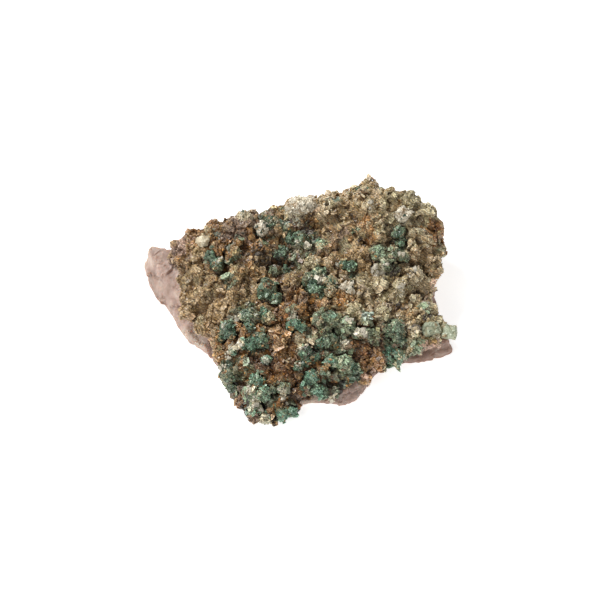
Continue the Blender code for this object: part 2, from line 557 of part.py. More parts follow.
def scattered_lumps(taken):
    """Lumps that fill the crust's top between the placed ones, and others round its side."""
    rng = np.random.default_rng(31)
    lumps = []
    for x, y in lattice(CRUST_OUTLINE, CRUST_FILL_PITCH, CRUST_FILL_INSET, 32):
        radius = rng.uniform(*CRUST_FILL_RADIUS)
        lift = rng.uniform(*CRUST_FILL_LIFT)
        crowded = [
            math.hypot(x - other[0], y - other[1]) < CRUST_CROWDING * (radius + other[2])
            for other in taken
        ]
        if not any(crowded):
            lumps.append((x, y, crust_top(x, y) - LUMP_SINK * radius + lift, radius))
    outline = np.array(CRUST_OUTLINE)
    sides = np.roll(outline, -1, axis=0) - outline
    lengths = np.linalg.norm(sides, axis=1)
    stations = np.arange(0, lengths.sum(), RIM_PITCH)
    ends = np.cumsum(lengths)
    for station in stations:
        side = int(np.searchsorted(ends, station))
        share = (station - (ends[side] - lengths[side])) / lengths[side]
        x, y = outline[side] + sides[side] * share
        low = height(CRUST_RIM_SPOTS, x, y)
        high = height(CRUST_SPOTS, x, y)
        for level in RIM_TWO_ROWS if high - low > RIM_TWO_ROWS_FROM else RIM_ROW:
            radius = rng.uniform(*RIM_RADIUS)
            z = max(low + (high - low) * level, radius + RIM_CLEARANCE)
            spot = rng.uniform(-1, 1, 2) * RIM_JITTER + (x, y)
            lumps.append((spot[0], spot[1], z, radius))
    return lumps


def hollow_points(x, y, length, width, depth, turn, seed):
    """Corners of a cutter for one hollow of the crust."""
    rng = np.random.default_rng(seed)
    points = ball_directions(HOLLOW_CORNERS, rng) * (length, width, depth)
    spin = np.array(Euler((0, 0, math.radians(turn))).to_matrix())
    return points @ spin.T + (x, y, crust_top(x, y) + HOLLOW_LIFT)


def make_rosasite(grown_matrix):
    """Each rosasite cluster, as the union of its balls, and the seats that they need."""
    seats = []
    clusters = []
    for number, balls in enumerate(ROSASITE_CLUSTERS, start=1):
        seed = 1000 + 20 * number
        name = f"rosasite_cluster_{number:02d}"
        sets = ball_sets(balls, seed, BALL_CORNERS)
        cluster = hulls_object(name, sets[:1])
        if len(sets) > 1:
            combine(cluster, hulls_object("balls", sets[1:]), "UNION")
        combine(cluster, grown_copy(grown_matrix, 0), "DIFFERENCE", overlapping=False)
        keep_clear(cluster, seats)
        seats += ball_sets(balls, seed, BALL_CORNERS, GAP * ROUND_GROWTH)
        clusters.append(cluster)
    return clusters, seats


def make_calcite(grown_matrix, cluster_seats):
    """Each calcite piece, and the seats that they need."""
    seats = []
    pieces = []
    for name, shape, place, size, tilt in CALCITE_PIECES:
        piece = hulls_object(name, [crystal_points(shape, place, size, tilt)])
        keep_clear(piece, cluster_seats + seats)
        seats.append(crystal_points(shape, place, size, tilt, GAP * CRYSTAL_GROWTH))
        pieces.append(piece)
    for number, (name, balls, pit) in enumerate(CALCITE_LUMPS):
        seed = 3000 + 20 * number
        sets = ball_sets(balls, seed, BALL_CORNERS)
        piece = hulls_object(name, sets[:1])
        if len(sets) > 1:
            combine(piece, hulls_object("balls", sets[1:]), "UNION")
        if pit:
            x, y, radius, lift = pit
            corners = lump_points((x, y, crust_top(x, y) + lift), radius, PIT_CORNERS, 3900)
            combine(piece, hulls_object("pit", [corners]), "DIFFERENCE")
        keep_clear(piece, cluster_seats + seats)
        seats += ball_sets(balls, seed, BALL_CORNERS, GAP * ROUND_GROWTH)
        pieces.append(piece)
    for piece in pieces:
        combine(piece, grown_copy(grown_matrix, 0), "DIFFERENCE", overlapping=False)
    return pieces, seats


def make_crust(grown_matrix, seats):
    """The crust: its core and lumps in one, less the rock and the seats of what grows on it."""
    core = crust_core()
    taken = [ball[:3] for balls in ROSASITE_CLUSTERS for ball in balls]
    taken += [ball[:3] for _, balls, _ in CALCITE_LUMPS for ball in balls]
    taken += [(*place[:2], max(size) / 2) for _, _, place, size, _ in CALCITE_PIECES]
    taken += [lump[:3] for lump in CRUST_LUMPS]
    taken += [(x, y, width) for x, y, _, width, _, _ in CRUST_HOLLOWS]
    sets = ball_sets(CRUST_LUMPS, 2000, LUMP_CORNERS)
    for number, (x, y, z, radius) in enumerate(scattered_lumps(taken)):
        sets.append(lump_points((x, y, z), radius, LUMP_CORNERS, 2500 + number))
    combine(core, hulls_object("lumps", sets), "UNION")
    hollows = [hollow_points(*hollow, 2900 + i) for i, hollow in enumerate(CRUST_HOLLOWS)]
    combine(core, hulls_object("seats", seats + hollows), "DIFFERENCE")
    simplify(core, CRUST_TRIANGLES)
    combine(core, grown_copy(grown_matrix, 0), "DIFFERENCE")
    return core


def finish(objects):
    """Colours the objects and stands the specimen with the middle of its foot at the origin."""
    materials = {name: make_material(name) for name in COLOURS}
    specimen = bpy.data.objects.new("specimen", None)
    bpy.context.scene.collection.objects.link(specimen)
    corners = []
    for obj in objects:
        kind = obj.name.split("_")[0]
        obj.data.materials.clear()
        obj.data.materials.append(materials[kind])
        obj.parent = specimen
        corners += [tuple(vert.co) for vert in obj.data.vertices]
    low = np.min(corners, axis=0)
    high = np.max(corners, axis=0)
    specimen.location = (-(low[0] + high[0]) / 2, -(low[1] + high[1]) / 2, -low[2])


def main():
    clear_scene()
    matrix = make_matrix()
    grown_matrix = grown_copy(matrix, GAP * MATRIX_GROWTH)
    clusters, cluster_seats = make_rosasite(grown_matrix)
    pieces, piece_seats = make_calcite(grown_matrix, cluster_seats)
    crust = make_crust(grown_matrix, cluster_seats + piece_seats)
    bpy.data.objects.remove(grown_matrix, do_unlink=True)
    finish([matrix, crust] + clusters + pieces)


main()
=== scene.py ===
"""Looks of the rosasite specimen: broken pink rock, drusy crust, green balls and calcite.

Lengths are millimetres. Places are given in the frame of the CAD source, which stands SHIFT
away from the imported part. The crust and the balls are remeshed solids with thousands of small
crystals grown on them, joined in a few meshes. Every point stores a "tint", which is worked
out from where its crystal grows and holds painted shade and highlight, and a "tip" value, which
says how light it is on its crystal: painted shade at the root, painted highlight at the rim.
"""

import math
from functools import cached_property

import bpy
import numpy as np
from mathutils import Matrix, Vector, noise
from mathutils.bvhtree import BVHTree
from mathutils.kdtree import KDTree


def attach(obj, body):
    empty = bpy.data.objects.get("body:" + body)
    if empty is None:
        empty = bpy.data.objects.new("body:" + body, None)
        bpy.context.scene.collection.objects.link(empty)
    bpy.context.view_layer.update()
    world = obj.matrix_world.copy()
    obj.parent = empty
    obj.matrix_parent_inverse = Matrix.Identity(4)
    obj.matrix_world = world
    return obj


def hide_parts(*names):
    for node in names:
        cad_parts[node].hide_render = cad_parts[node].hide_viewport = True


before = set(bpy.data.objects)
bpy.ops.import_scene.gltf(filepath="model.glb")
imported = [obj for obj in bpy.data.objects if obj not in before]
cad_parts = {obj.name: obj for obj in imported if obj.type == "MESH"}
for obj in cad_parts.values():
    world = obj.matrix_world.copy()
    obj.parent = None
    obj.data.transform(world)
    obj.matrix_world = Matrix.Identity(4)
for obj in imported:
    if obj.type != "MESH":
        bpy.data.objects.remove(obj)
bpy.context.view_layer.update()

MM = 0.001
SHIFT = np.array((0.176, -1.087, 0.0))

# Camera, as in the photograph. Its elevation is in degrees, its clipping in metres
LENS = 100.0
SENSOR = 36.0
ELEVATION = 55.0
DISTANCE = 444.0
AIM = (0.3, 1.5, 10.0)
CLIP = (0.01, 20)

# Studio: a floor that is wider than any view, and lamps by name, place, side and power
FLOOR_HALF = 9000.0
FLOOR_WHITE = 0.93
FLOOR_GLOW = 0.7
SKY_STRENGTH = 0.28
LAMPS = (("key", (-260, 220, 420), 160, 2.5), ("front", (-240, -330, 300), 260, 0.7))
LAMP_AIM = (0, 0, 10)

# Seeds of the random numbers and of the scattered cells
ROCK_SEED, DRUSE_SEED, CALCITE_SEED = 5, 7, 9
ROCK_CELLS, DRUSE_CELLS, CALCITE_CELLS, SPECK_CELLS = 2.0, 0.0, 4.0, 8.0

# Voxels of the remeshed skins
CRUST_VOXEL = 0.41
BALL_VOXEL = 0.34
ROCK_VOXEL = 0.5
CALCITE_VOXEL = 0.16
# Angular relief: cell size, height of steps, slope of tops, depth of the gaps between cells
CRUST_RELIEF = [(3.4, 0.5, 0.32, 0.28), (1.5, 0.12, 0.25, 0.08)]
BALL_RELIEF = [(1.4, 0.2, 0.3, 0.15)]
CALCITE_RELIEF = [(1.8, 0.2, 0.35, 0.12), (0.7, 0.08, 0.3, 0.05)]
ROCK_RELIEF = [(7.0, 0.4, 0.1, 0.1), (2.6, 0.08, 0.08, 0.03)]
GAP_SHARE = 0.3
CELL_BEND = 0.12
# Grain on top of the relief: size, amount
ROCK_GRAIN = ((1.7, 0.12), (0.8, 0.05))
SKIN_GRAIN = ((0.7, 0.15),)
CALCITE_GRAIN = ((0.4, 0.06),)
# How far skins stand out of their solids, and how high above the floor they stay
SKIN_LIFT = 0.1
SKIN_FLOOR = 0.05
# The rock keeps its flat foot up to FOOT_TOP, and gets its full relief FOOT_BAND above that
FOOT_TOP = 0.1
FOOT_BAND = 0.6
# Narrow gaps of the crust are filled by growing the skin this far and shrinking it back
CRUST_CLOSING = 1.3
CRUST_SOFTENING = 5
# Left of RIM_BEFORE and on steep sides, the crust keeps low so that the rock shows
RIM_BEFORE = -14.0
RIM_SLOPE = 0.5
RIM_LIFT = 0.5
RIM_CRYSTAL = 0.4

# Layers of crystals: spacing, least and most half size, lift in half sizes, tilt, share of flakes
CRYSTAL_LAYERS = [
    (1.6, 0.65, 1.15, -0.22, 0.24, 1.0),
    (0.95, 0.34, 0.68, -0.12, 0.4, 0.9),
    (0.68, 0.16, 0.3, 0.0, 0.5, 0.4),
]
BALL_LAYERS = [
    (1.2, 0.42, 0.85, -0.1, 0.32, 1.0),
    (0.75, 0.24, 0.46, 0.0, 0.45, 0.9),
    (0.6, 0.13, 0.24, 0.1, 0.5, 0.4),
]
# Crystals are this much of their size in full shade, and gain this much up to full light
SHADED_SIZE = 0.7
LIGHT_GAIN = 0.4
LIFT_SPREAD = 0.2
STRETCHING = 0.3
MISSHAPE = 0.12
# How far a crystal reaches, in half sizes
CRYSTAL_REACH = 1.5
# None grow where less of the light gets in, or on faces that look further down
LEAST_LIGHT = 0.06
LOWEST_FACING = -0.7
TRIES_PER_SPACE = 4.0

# Rays that find how much light gets in, out of a fan of directions
SHADE_RAYS = 14
SHADE_REACH = 3.0
SHADE_DIRECTIONS = 64
SHADE_START = 0.15
SHADE_LEAN = 1.05
# Rounds of smoothing that leave the surroundings of a ridge
RIDGE_ROUNDS = 14

# Patches of growth, which share one luck, and how their borders bend
PATCH_SIZE = 2.1
PATCH_BLEND = 0.04
PATCH_BEND = 0.3
PLACE_BEND = 0.8
PLACE_BLUR = 0.15
REGION_LUCK, CLUSTER_LUCK, FIELD_LUCK = 5.0, 9.0, 13.0
REGION_REACH = 2.4
FIELD_EDGE = 1.6
ROWS_AT_ONCE = 20000
NEAR_CELLS = [(a, b, c) for a in (-1, 0, 1) for b in (-1, 0, 1) for c in (-1, 0, 1)]

# Share of a mix's mean in each colour, and how uneven the lightness of crystals is
BLENDING = 0.5
UNEVENNESS = 0.11
# Painted light: how much lighter the colours get with each millimetre to the right, away from the
# lamps on the left
RIGHT_SIDE_PAINTED_LIGHT = 0.0045
SATURATION = 1.1
WARMTH = (1.0, 0.95, 0.84)
# Painted light: light gained with each millimetre of ridge, a painted highlight on ridges and
# painted shade in hollows, its limits, and the pale share of crystal rims, a painted highlight
RIDGE_PAINTED_LIGHT = 0.9
RIDGE_PAINTED_LIGHT_LIMITS = (0.5, 1.5)
RIM_HIGHLIGHT = 0.22
# Mixes whose ridges are frosted grey-white, partly as painted highlight, to the right, and how much
# of that the rest gets
FROSTED = ("olive", "gold", "beige", "straw", "cream", "white")
FROST_ELSEWHERE = 0.25
FROST_FROM = -12.0
FROST_WIDTH = 18.0
# Frost on level crust, more with each millimetre of ridge as a painted highlight, and the most of
# it
FROST_AND_HIGHLIGHT_SHARES = (0.1, 0.8, 0.4)
# Rust stain with painted shade, and dark painted shade: light below which they start, band in which
# they grow, most of them
RUST_AND_SHADE = (0.75, 0.4, 0.4)
SHADE_DARKENING = (0.5, 0.42, 0.85)
SHADE_DARK_LIGHT = 0.8
# Painted shade: lightness of the skins under their crystals, and their tip values
CRUST_UNDER_SHADE, CRUST_TIP_SHADING = 0.92, 0.45
BALL_UNDER_SHADE, BALL_TIP_SHADING = 0.8, 0.5

# Rock: lightness, spread of it, and the stained side: where it starts, its width, its shares
ROCK_LIGHT = 0.69
ROCK_UNEVENNESS = 0.02
STAIN_FROM = 24
STAIN_WIDTH = 8
STAIN_SHARES = (0.24, 0.3)
STAIN_COLOUR = (0.6, 0.85, 1.0)
GRIME_NOISE = ((2.0, 1.6), (0.9, 1.0))
GRIME_SHARE = 0.12
GRIME_COLOUR = (0.5, 0.9, 1.2)

# Colours as they are seen, in sRGB
TONES = {
    "straw": (196, 188, 152), "olive": (158, 146, 104), "sand": (204, 180, 144),
    "tan": (172, 142, 100), "ochre": (176, 124, 62), "rust": (134, 84, 42), "brown": (84, 58, 36),
    "dark": (38, 28, 20), "mauve": (150, 128, 118), "frost": (206, 200, 184),
    "pink": (208, 178, 164), "pale_pink": (228, 206, 188), "cream": (224, 212, 182),
    "white": (240, 231, 210), "glass": (180, 188, 160), "mint": (162, 194, 168),
    "sage": (128, 138, 116), "jade": (96, 128, 106), "teal": (98, 152, 134), "moss": (42, 80, 60),
    "ice": (186, 208, 206),
}

# What a patch of druse is made of: tones and their shares
MIXES = {
    "olive": {"straw": 46, "olive": 12, "sand": 24, "cream": 12, "brown": 6},
    "tan": {"tan": 40, "sand": 30, "ochre": 10, "brown": 9, "straw": 11},
    "gold": {"tan": 32, "straw": 22, "sand": 28, "ochre": 12, "olive": 6},
    "beige": {"sand": 36, "mauve": 14, "straw": 20, "cream": 28, "tan": 2},
    "ochre": {"ochre": 40, "tan": 32, "rust": 14, "sand": 8, "brown": 6},
    "rust": {"rust": 42, "brown": 28, "ochre": 22, "tan": 8},
    "brown": {"brown": 50, "rust": 24, "tan": 16, "dark": 10},
    "mauve": {"mauve": 52, "tan": 20, "brown": 16, "sand": 12},
    "cream": {"cream": 66, "white": 16, "sand": 18},
    "white": {"white": 78, "ice": 10, "cream": 12},
    "sage": {"sage": 44, "olive": 16, "moss": 14, "mint": 14, "brown": 12},
    "green": {"jade": 30, "moss": 26, "sage": 20, "mint": 10, "brown": 14},
    "teal": {"teal": 36, "jade": 22, "sage": 14, "mint": 14, "moss": 14},
    "mint": {"mint": 56, "jade": 12, "white": 18, "straw": 14},
    "moss": {"moss": 62, "jade": 24, "mint": 14},
    "dark": {"dark": 72, "brown": 28},
    "pink": {"pink": 80, "mauve": 20},
    "straw": {"straw": 70, "olive": 20, "white": 10},
    "ice": {"ice": 66, "white": 20, "teal": 14},
}

# Druse by place: x, y, mix
REGIONS = [
    (-34, 15, "pink"), (-33, 12, "tan"), (-30, 16, "ochre"), (-28, 11, "gold"), (-29, 7, "tan"),
    (-27, 2, "tan"), (-29, -2, "tan"), (-25, -4, "tan"), (-22, 4, "tan"), (-23, 19, "ochre"),
    (-21, 13, "ochre"), (-17, 20, "mauve"), (-13, 19, "mauve"), (-12, 14, "ochre"),
    (-16, 6, "gold"), (-17, 1, "tan"), (-12, 8, "tan"), (-20, -3, "tan"), (-9, 9, "tan"),
    (-4, 10, "brown"), (-8, 22, "sage"), (-4, 20, "tan"), (-6, 25, "tan"), (-10, 23, "mauve"),
    (0, 21, "brown"), (5, 21, "tan"), (0, 14, "sage"), (3, 9, "gold"), (7, 14, "tan"),
    (8, 24, "gold"), (9.5, 16, "mauve"), (12, 22, "gold"), (16, 25, "gold"), (19, 28, "gold"),
    (24, 26, "gold"), (29, 26, "olive"), (34, 25, "olive"), (19, 22, "gold"), (21, 19, "beige"),
    (18, 17, "gold"), (22, 15, "gold"), (12, 13, "tan"), (17, 13, "tan"), (25, 20, "olive"),
    (30, 17, "olive"), (35, 16, "gold"), (35, 11, "gold"), (38, 20, "ochre"), (30, 6, "beige"),
    (26, 3, "olive"), (33, 3, "beige"), (33, -2, "beige"), (28, -3, "tan"), (21, -5, "beige"),
    (17, 0, "beige"), (14, -5, "olive"), (5, -3, "ochre"), (2, -6, "ochre"), (11, -2, "tan"),
    (-3, 3, "tan"), (0, -1, "brown"), (-5, -2, "ochre"), (-2, -2, "brown"), (1, 1, "brown"),
    (-12, -2, "tan"), (-4, -6, "rust"), (-6, -10, "ochre"), (-15, -10, "ochre"),
    (-5, -13, "ochre"), (-3, -15, "ochre"), (-14, -16, "ochre"), (-9, -19, "brown"),
    (-4, -20, "rust"), (0, -21, "brown"), (-9, -24, "ochre"), (-15, -27, "brown"),
    (-17, -20, "sage"), (2, -12, "beige"), (6, -17, "rust"), (5, -19, "ochre"), (10, -16, "sage"),
    (15, -15, "brown"), (19, -17, "ochre"), (14, -25, "ochre"), (7, -26, "brown"),
    (17, -12, "rust"), (22, -12, "brown"), (28, -14, "olive"), (31, -12, "olive"), (33, -8, "tan"),
    (36, -6, "olive"), (38, -9, "olive"), (27, -8, "beige"), (-20, -8, "tan"), (-21, -12, "tan"),
    (-19, -15, "ochre"),
]
# Broad patches of greenish druse round the clusters: x, y, radius, share
GREEN_FIELDS = [
    (-14, -5, 5, 0.45), (-19, -8, 3, 0.3), (-10, -12, 4, 0.4), (5, -9, 4.5, 0.5),
    (11, -9, 4.5, 0.6), (17, -9, 3.5, 0.5), (10, -15, 4, 0.5), (12, -20, 4.5, 0.6),
    (6, -22, 4.5, 0.6), (-9, -26, 5, 0.5), (-4, -28, 3.5, 0.5), (25, -12, 4, 0.55),
    (30, -14, 3, 0.5), (0, -6, 3, 0.4), (-18, -18, 3.5, 0.4), (26, 17, 3, 0.5), (24, 9, 3.5, 0.45),
    (3, 3, 3.5, 0.4), (-6, 19, 3, 0.4), (3, 18, 3.5, 0.35),
]
# Spots of one kind: x, y, radius, mix, share of its crystals
SPOTS = [
    (-35.7, 13.7, 1.6, "pink", 0.8), (-33, 17, 1.8, "pink", 0.7), (-33, 12.5, 1.4, "ochre", 0.7),
    (-24.9, 18.2, 1.5, "cream", 0.7), (-22, 17.5, 1, "ice", 0.8), (-24, 11.3, 1.6, "green", 0.7),
    (-20.6, 8, 1.2, "sage", 0.6), (-20.5, 6.8, 1.5, "sage", 0.8), (-18.3, 3.8, 1.8, "sage", 0.7),
    (-16.2, 15.5, 1.2, "dark", 0.6), (-9.4, 15.9, 1.6, "mint", 0.6),
    (-8.3, 22.5, 1.5, "green", 0.8), (-8, 20.5, 1.6, "green", 0.7), (-3.5, 21.3, 1.3, "ice", 0.9),
    (-11, 11.8, 2.4, "dark", 0.35), (-14.5, 10.5, 1.6, "brown", 0.5), (-7, 10.5, 2.6, "dark", 0.4),
    (-3, 11.5, 1.8, "dark", 0.35), (0.5, 13, 1.5, "brown", 0.5), (-2.5, 24.5, 1.8, "white", 0.85),
    (0.5, 25.4, 2.2, "white", 0.9), (2.8, 26, 1.6, "white", 0.8), (0, 22.8, 1.8, "white", 0.75),
    (4, 22.3, 1.6, "brown", 0.7), (7, 22, 1.9, "beige", 0.7), (2.2, 19.8, 1.8, "dark", 0.6),
    (0.5, 27.5, 1.2, "moss", 0.9), (-2.6, 18.5, 1.2, "teal", 0.7), (4.2, 17.5, 1.7, "teal", 0.7),
    (-0.5, 15.2, 1, "white", 0.8), (2.5, 14.7, 1.1, "white", 0.8), (6.5, 15, 1.8, "mint", 0.7),
    (-3, 8.6, 1.3, "moss", 0.8), (3, 9, 2.2, "olive", 0.9), (-8, 2, 1.2, "rust", 0.8),
    (-2.5, 3, 2.4, "tan", 0.8), (0, -0.5, 1.5, "ochre", 0.9), (5.5, 6.3, 2, "mint", 0.5),
    (5.8, 3.8, 1.2, "white", 0.95), (2.5, 4, 1.6, "sage", 0.8), (3.8, 1.2, 2.1, "moss", 0.85),
    (8.5, 2.5, 1.9, "olive", 0.8), (8, 0, 1.5, "beige", 0.8), (4.5, -2.5, 1.6, "ochre", 0.8),
    (11, -2, 1.6, "ochre", 0.8), (14.5, -1.5, 1.3, "ochre", 0.7), (9.5, 26.5, 1.5, "moss", 0.95),
    (10.2, 25.3, 1, "teal", 0.8), (8, 24.5, 1.6, "straw", 0.8), (16.5, 30.5, 1.3, "moss", 0.9),
    (18.2, 30.2, 1, "teal", 0.7), (22.3, 29.3, 1, "moss", 0.9), (19, 22.3, 2, "cream", 0.7),
    (22.3, 24, 1.7, "olive", 0.9), (17, 26, 1.4, "brown", 0.8), (27.5, 20.5, 1.4, "white", 0.8),
    (26.5, 17, 1.9, "green", 0.85), (27, 14, 1.5, "moss", 0.85), (14.7, 17, 0.9, "green", 0.9),
    (17.5, 18.5, 1.7, "ochre", 0.85), (19, 15, 1.6, "ochre", 0.8), (21.5, 15.5, 1.5, "straw", 0.7),
    (12, 13.2, 1.6, "straw", 0.7), (16.5, 14, 1.3, "dark", 0.5), (34, 16, 1.8, "cream", 0.6),
    (38.5, 16.5, 1.6, "mint", 0.6), (37, 21, 1.4, "rust", 0.7), (21.3, 7.2, 1.3, "white", 0.9),
    (23, 8.5, 1.4, "mint", 0.8), (25.5, 6.9, 1.8, "dark", 0.6), (12, 8.2, 1.2, "moss", 0.9),
    (13.7, 7.8, 1.2, "moss", 0.9), (14.5, 5.5, 1.3, "green", 0.9), (10.3, 8.6, 0.7, "white", 0.9),
    (30, 6, 2.2, "cream", 0.4), (27, 1.8, 1.2, "white", 0.6), (33.5, -1.5, 1.5, "mint", 0.7),
    (33.8, 1.5, 1.4, "mauve", 0.8), (36.5, 5, 1.6, "pink", 0.7), (17, 0, 2.2, "beige", 0.45),
    (18, -7.5, 1.3, "ice", 0.8), (21.5, -5.5, 2.2, "straw", 0.5), (27, -2.5, 1.4, "dark", 0.7),
    (34, -4, 1.3, "dark", 0.6), (31.5, -8, 1.3, "dark", 0.6), (25, -9, 2.6, "green", 0.7),
    (24.4, -8.2, 1.2, "mint", 0.6), (23.5, -14, 1.9, "teal", 0.8), (26.2, -15, 1.7, "teal", 0.7),
    (38.2, -10, 1.2, "moss", 0.9), (32, -11.5, 1.7, "mint", 0.7), (29.8, -15.6, 1.1, "moss", 0.9),
    (31.4, -14.6, 1.2, "moss", 0.9), (35.2, -13.8, 1, "moss", 0.7), (19, -18, 1.8, "ochre", 0.8),
    (-1.3, -8.7, 1.8, "teal", 0.7), (-1.6, -7.4, 1.1, "white", 0.8), (7.5, -8, 2.8, "sage", 0.5),
    (9, -7.3, 1.4, "teal", 0.8), (12.5, -9.4, 1.9, "mint", 0.75), (12.8, -9, 0.8, "white", 0.9),
    (15.5, -11.5, 1, "white", 0.85), (16.9, -11.6, 1, "white", 0.8),
    (19.6, -11.3, 1.9, "sage", 0.7), (8, -12.5, 2, "sage", 0.7), (9.6, -12.2, 0.9, "teal", 0.9),
    (11.8, -13.5, 1.2, "white", 0.9), (5.5, -14, 1.4, "teal", 0.7),
    (1.9, -14.3, 1.1, "white", 0.8), (0.4, -15, 0.9, "white", 0.7), (2, -16, 1.4, "dark", 0.6),
    (2.5, -17.2, 1.2, "green", 0.8), (4.5, -16.5, 1.2, "teal", 0.7), (0, -19.2, 1, "white", 0.6),
    (-13.5, -6, 2.2, "mint", 0.25), (-16.3, -6.3, 1, "white", 0.85), (-9, -4.8, 1.5, "teal", 0.8),
    (-8, -6.8, 1.7, "olive", 0.7), (-12.8, -8.7, 1.5, "moss", 0.8),
    (-18.5, -8.5, 2.2, "moss", 0.6), (-17.4, -13.1, 1.2, "white", 0.8),
    (-15.7, -14, 1.1, "white", 0.8), (-18.5, -15.3, 1.2, "white", 0.6),
    (-12, -13.3, 1.7, "teal", 0.9), (-9.4, -12.8, 2.2, "green", 0.7),
    (-18.4, -17.6, 1.8, "moss", 0.7), (-19.4, -17.8, 0.9, "white", 0.8),
    (-8.5, -18, 1.1, "ice", 0.8), (-4.5, -11.7, 0.7, "teal", 0.9), (-6, -13, 2.2, "rust", 0.8),
    (-3, -14, 1.8, "ochre", 0.8), (3, -21.3, 2, "teal", 0.85), (1.4, -23.4, 1.3, "moss", 0.8),
    (5, -24.4, 1.9, "teal", 0.8), (7, -22.5, 1.3, "teal", 0.8), (9.5, -23.8, 1.3, "green", 0.8),
    (8.8, -26, 1.2, "white", 0.9), (11.5, -22, 1.2, "ice", 0.8), (13, -24.5, 1.3, "ice", 0.6),
    (12.6, -26.8, 1.1, "white", 0.9), (14.2, -26.6, 1, "white", 0.9), (12, -18, 2.3, "mint", 0.6),
    (8.5, -17.8, 1.6, "teal", 0.8), (14.8, -20, 1.4, "moss", 0.8), (14.6, -21.8, 1.1, "moss", 0.7),
    (15.5, -22.6, 0.9, "mint", 0.8), (5.5, -19.5, 1.6, "ochre", 0.8),
    (-10.5, -23, 2.2, "teal", 0.6), (-9, -26, 2.2, "teal", 0.6), (-11.6, -28.4, 2.2, "mint", 0.6),
    (-13.6, -25, 1.6, "mint", 0.5), (-12.5, -26, 1.2, "white", 0.85),
    (-11, -28.5, 1.1, "white", 0.8), (-12.3, -29.6, 1, "white", 0.7),
    (-8.6, -31.8, 1.8, "white", 0.8), (-4.5, -30.6, 1.7, "teal", 0.8),
    (-2.4, -30.2, 1.5, "teal", 0.8), (-17, -22, 1.9, "moss", 0.5), (-14, -28, 1.5, "dark", 0.7),
    (-4, -24.5, 1.8, "sage", 0.8), (-4.2, -26.3, 0.9, "white", 0.8), (-6, -25.5, 1.1, "teal", 0.7),
    (-8, -23.6, 1.3, "ochre", 0.8), (-16, -26.5, 1.6, "rust", 0.6), (33, -15.2, 2.4, "pink", 0.9),
    (36.5, -13.5, 3.3, "pink", 0.9), (39, -12, 1.8, "pink", 0.85), (34, -12.5, 2, "pink", 0.8),
    (20, -19.5, 1.8, "pink", 0.6), (24, -18.5, 2, "pink", 0.7), (17.5, -20.5, 1.5, "pink", 0.5),
]
# Where crystals are left out: x, y, radius, share. The small ones are plain rock, the wide
# ones smoother lumps, and the widest thins all the cover
BARE_SPOTS = [
    (33, -15.2, 2.2, 1), (36.5, -13.5, 3.3, 1), (39, -12, 1.8, 1), (34, -12.5, 2, 1),
    (20, -19.5, 1.4, 1), (24, -18.5, 1.8, 1), (18, 22, 10, 0.5), (32, 22, 9, 0.5),
    (33, 8, 8, 0.45), (20, 2, 7, 0.4), (9, 15, 5, 0.6), (-14, 20, 5, 0.6), (-27, 3, 7, 0.35),
    (-3, 4, 5, 0.4), (0, 0, 60, 0.25),
]
# Groups of small white crystals on the crust: x, y, half width, and how many in each
WHITE_CRYSTALS = [
    (-0.5, 15.2, 0.6), (2.5, 14.7, 0.6), (5.8, 3.8, 1), (21.3, 7.2, 1.3), (22.6, 6.2, 0.9),
    (27, 1.8, 0.7), (-1.6, -7.4, 0.7), (12.8, -9, 0.9), (15.5, -11.5, 0.9), (16.9, -11.6, 0.8),
    (11.8, -13.5, 0.8), (1.9, -14.3, 0.6), (0.4, -15, 0.5), (0, -19.2, 0.5), (-16.3, -6.3, 0.7),
    (-17.4, -13.1, 0.9), (-15.7, -14, 0.7), (-18.5, -15.3, 0.7), (-19.4, -17.8, 0.6),
    (-4.2, -26.3, 0.6), (-12.5, -26, 0.9), (-11, -28.5, 0.9), (-12.3, -29.6, 0.7), (8.8, -26, 0.7),
    (12.6, -26.8, 0.8), (14.2, -26.6, 0.7), (10.3, 8.6, 0.5), (-20, -8.8, 0.5), (19, 22.3, 0.7),
    (33.5, -1.5, 0.8), (30, 6, 0.8), (27.5, 11, 0.7), (-21, 9, 0.5),
]
CRYSTALS_TOGETHER = 6
# How they scatter, their half sizes, all as shares of the width, and their looks
SMALL_SCATTER = 0.75
SMALL_SIZES = (0.25, 0.75)
SMALL_LIFT = 0.45
SMALL_TILT = 0.6
SMALL_LIGHT = (0.6, 0.95)
# They are dropped on the crust from this height
OVERHEAD = 60

# Main mix of each rosasite cluster, in order, and the share of its patches that have it
CLUSTER_MIXES = [
    "moss", "sage", "green", "green", "green", "sage", "moss", "moss", "sage", "green", "green",
    "moss", "teal", "moss", "teal", "sage", "green", "teal", "moss", "sage", "teal", "sage",
    "teal", "teal", "sage", "teal",
]
CLUSTER_SHARE = 0.72
CALCITE_TONES = {
    "calcite_crystal_left": "cream",
    "calcite_crystal_back_right": "white",
    "calcite_slab_back": "white",
    "calcite_wedge_middle": "white",
    "calcite_block_right": "glass",
    "calcite_block_end": "glass",
    "calcite_lump_hollow": "cream",
    "calcite_lump_speckled": "white",
}
# Share of dark green specks, here and on the others
CALCITE_SPECKS = {"calcite_lump_speckled": 0.2, "calcite_lump_hollow": 0.06}
FEW_SPECKS = 0.03
SPECK_SIZE = 0.55
# Clear blocks with low relief and no plates on them
CALCITE_PLAIN = ("calcite_block_right", "calcite_block_end", "calcite_crystal_left")
PLAIN_RELIEF = 0.45
# Plates on calcite: spacing, least and most half size, tilt, lift
PLATES = (0.5, 0.18, 0.5, 0.6, 0.05)
CALCITE_UNEVENNESS = 0.08
# Painted shade darkens the hollows, fully from this depth, and dirt lies in patches of noise
HOLLOW_SHADE_DEPTH = 0.35
HOLLOW_SHADE_SHARE = 0.4
DIRT_NOISE = ((1.3, 2.0), (0.6, 1.0))
DIRT_FROM, DIRT_MOST = 0.35, 0.8


def linear(tone):
    """Linear colour of a tone."""
    share = np.array(TONES[tone]) / 255.0
    return np.where(share <= 0.04045, share / 12.92, ((share + 0.055) / 1.055) ** 2.4)


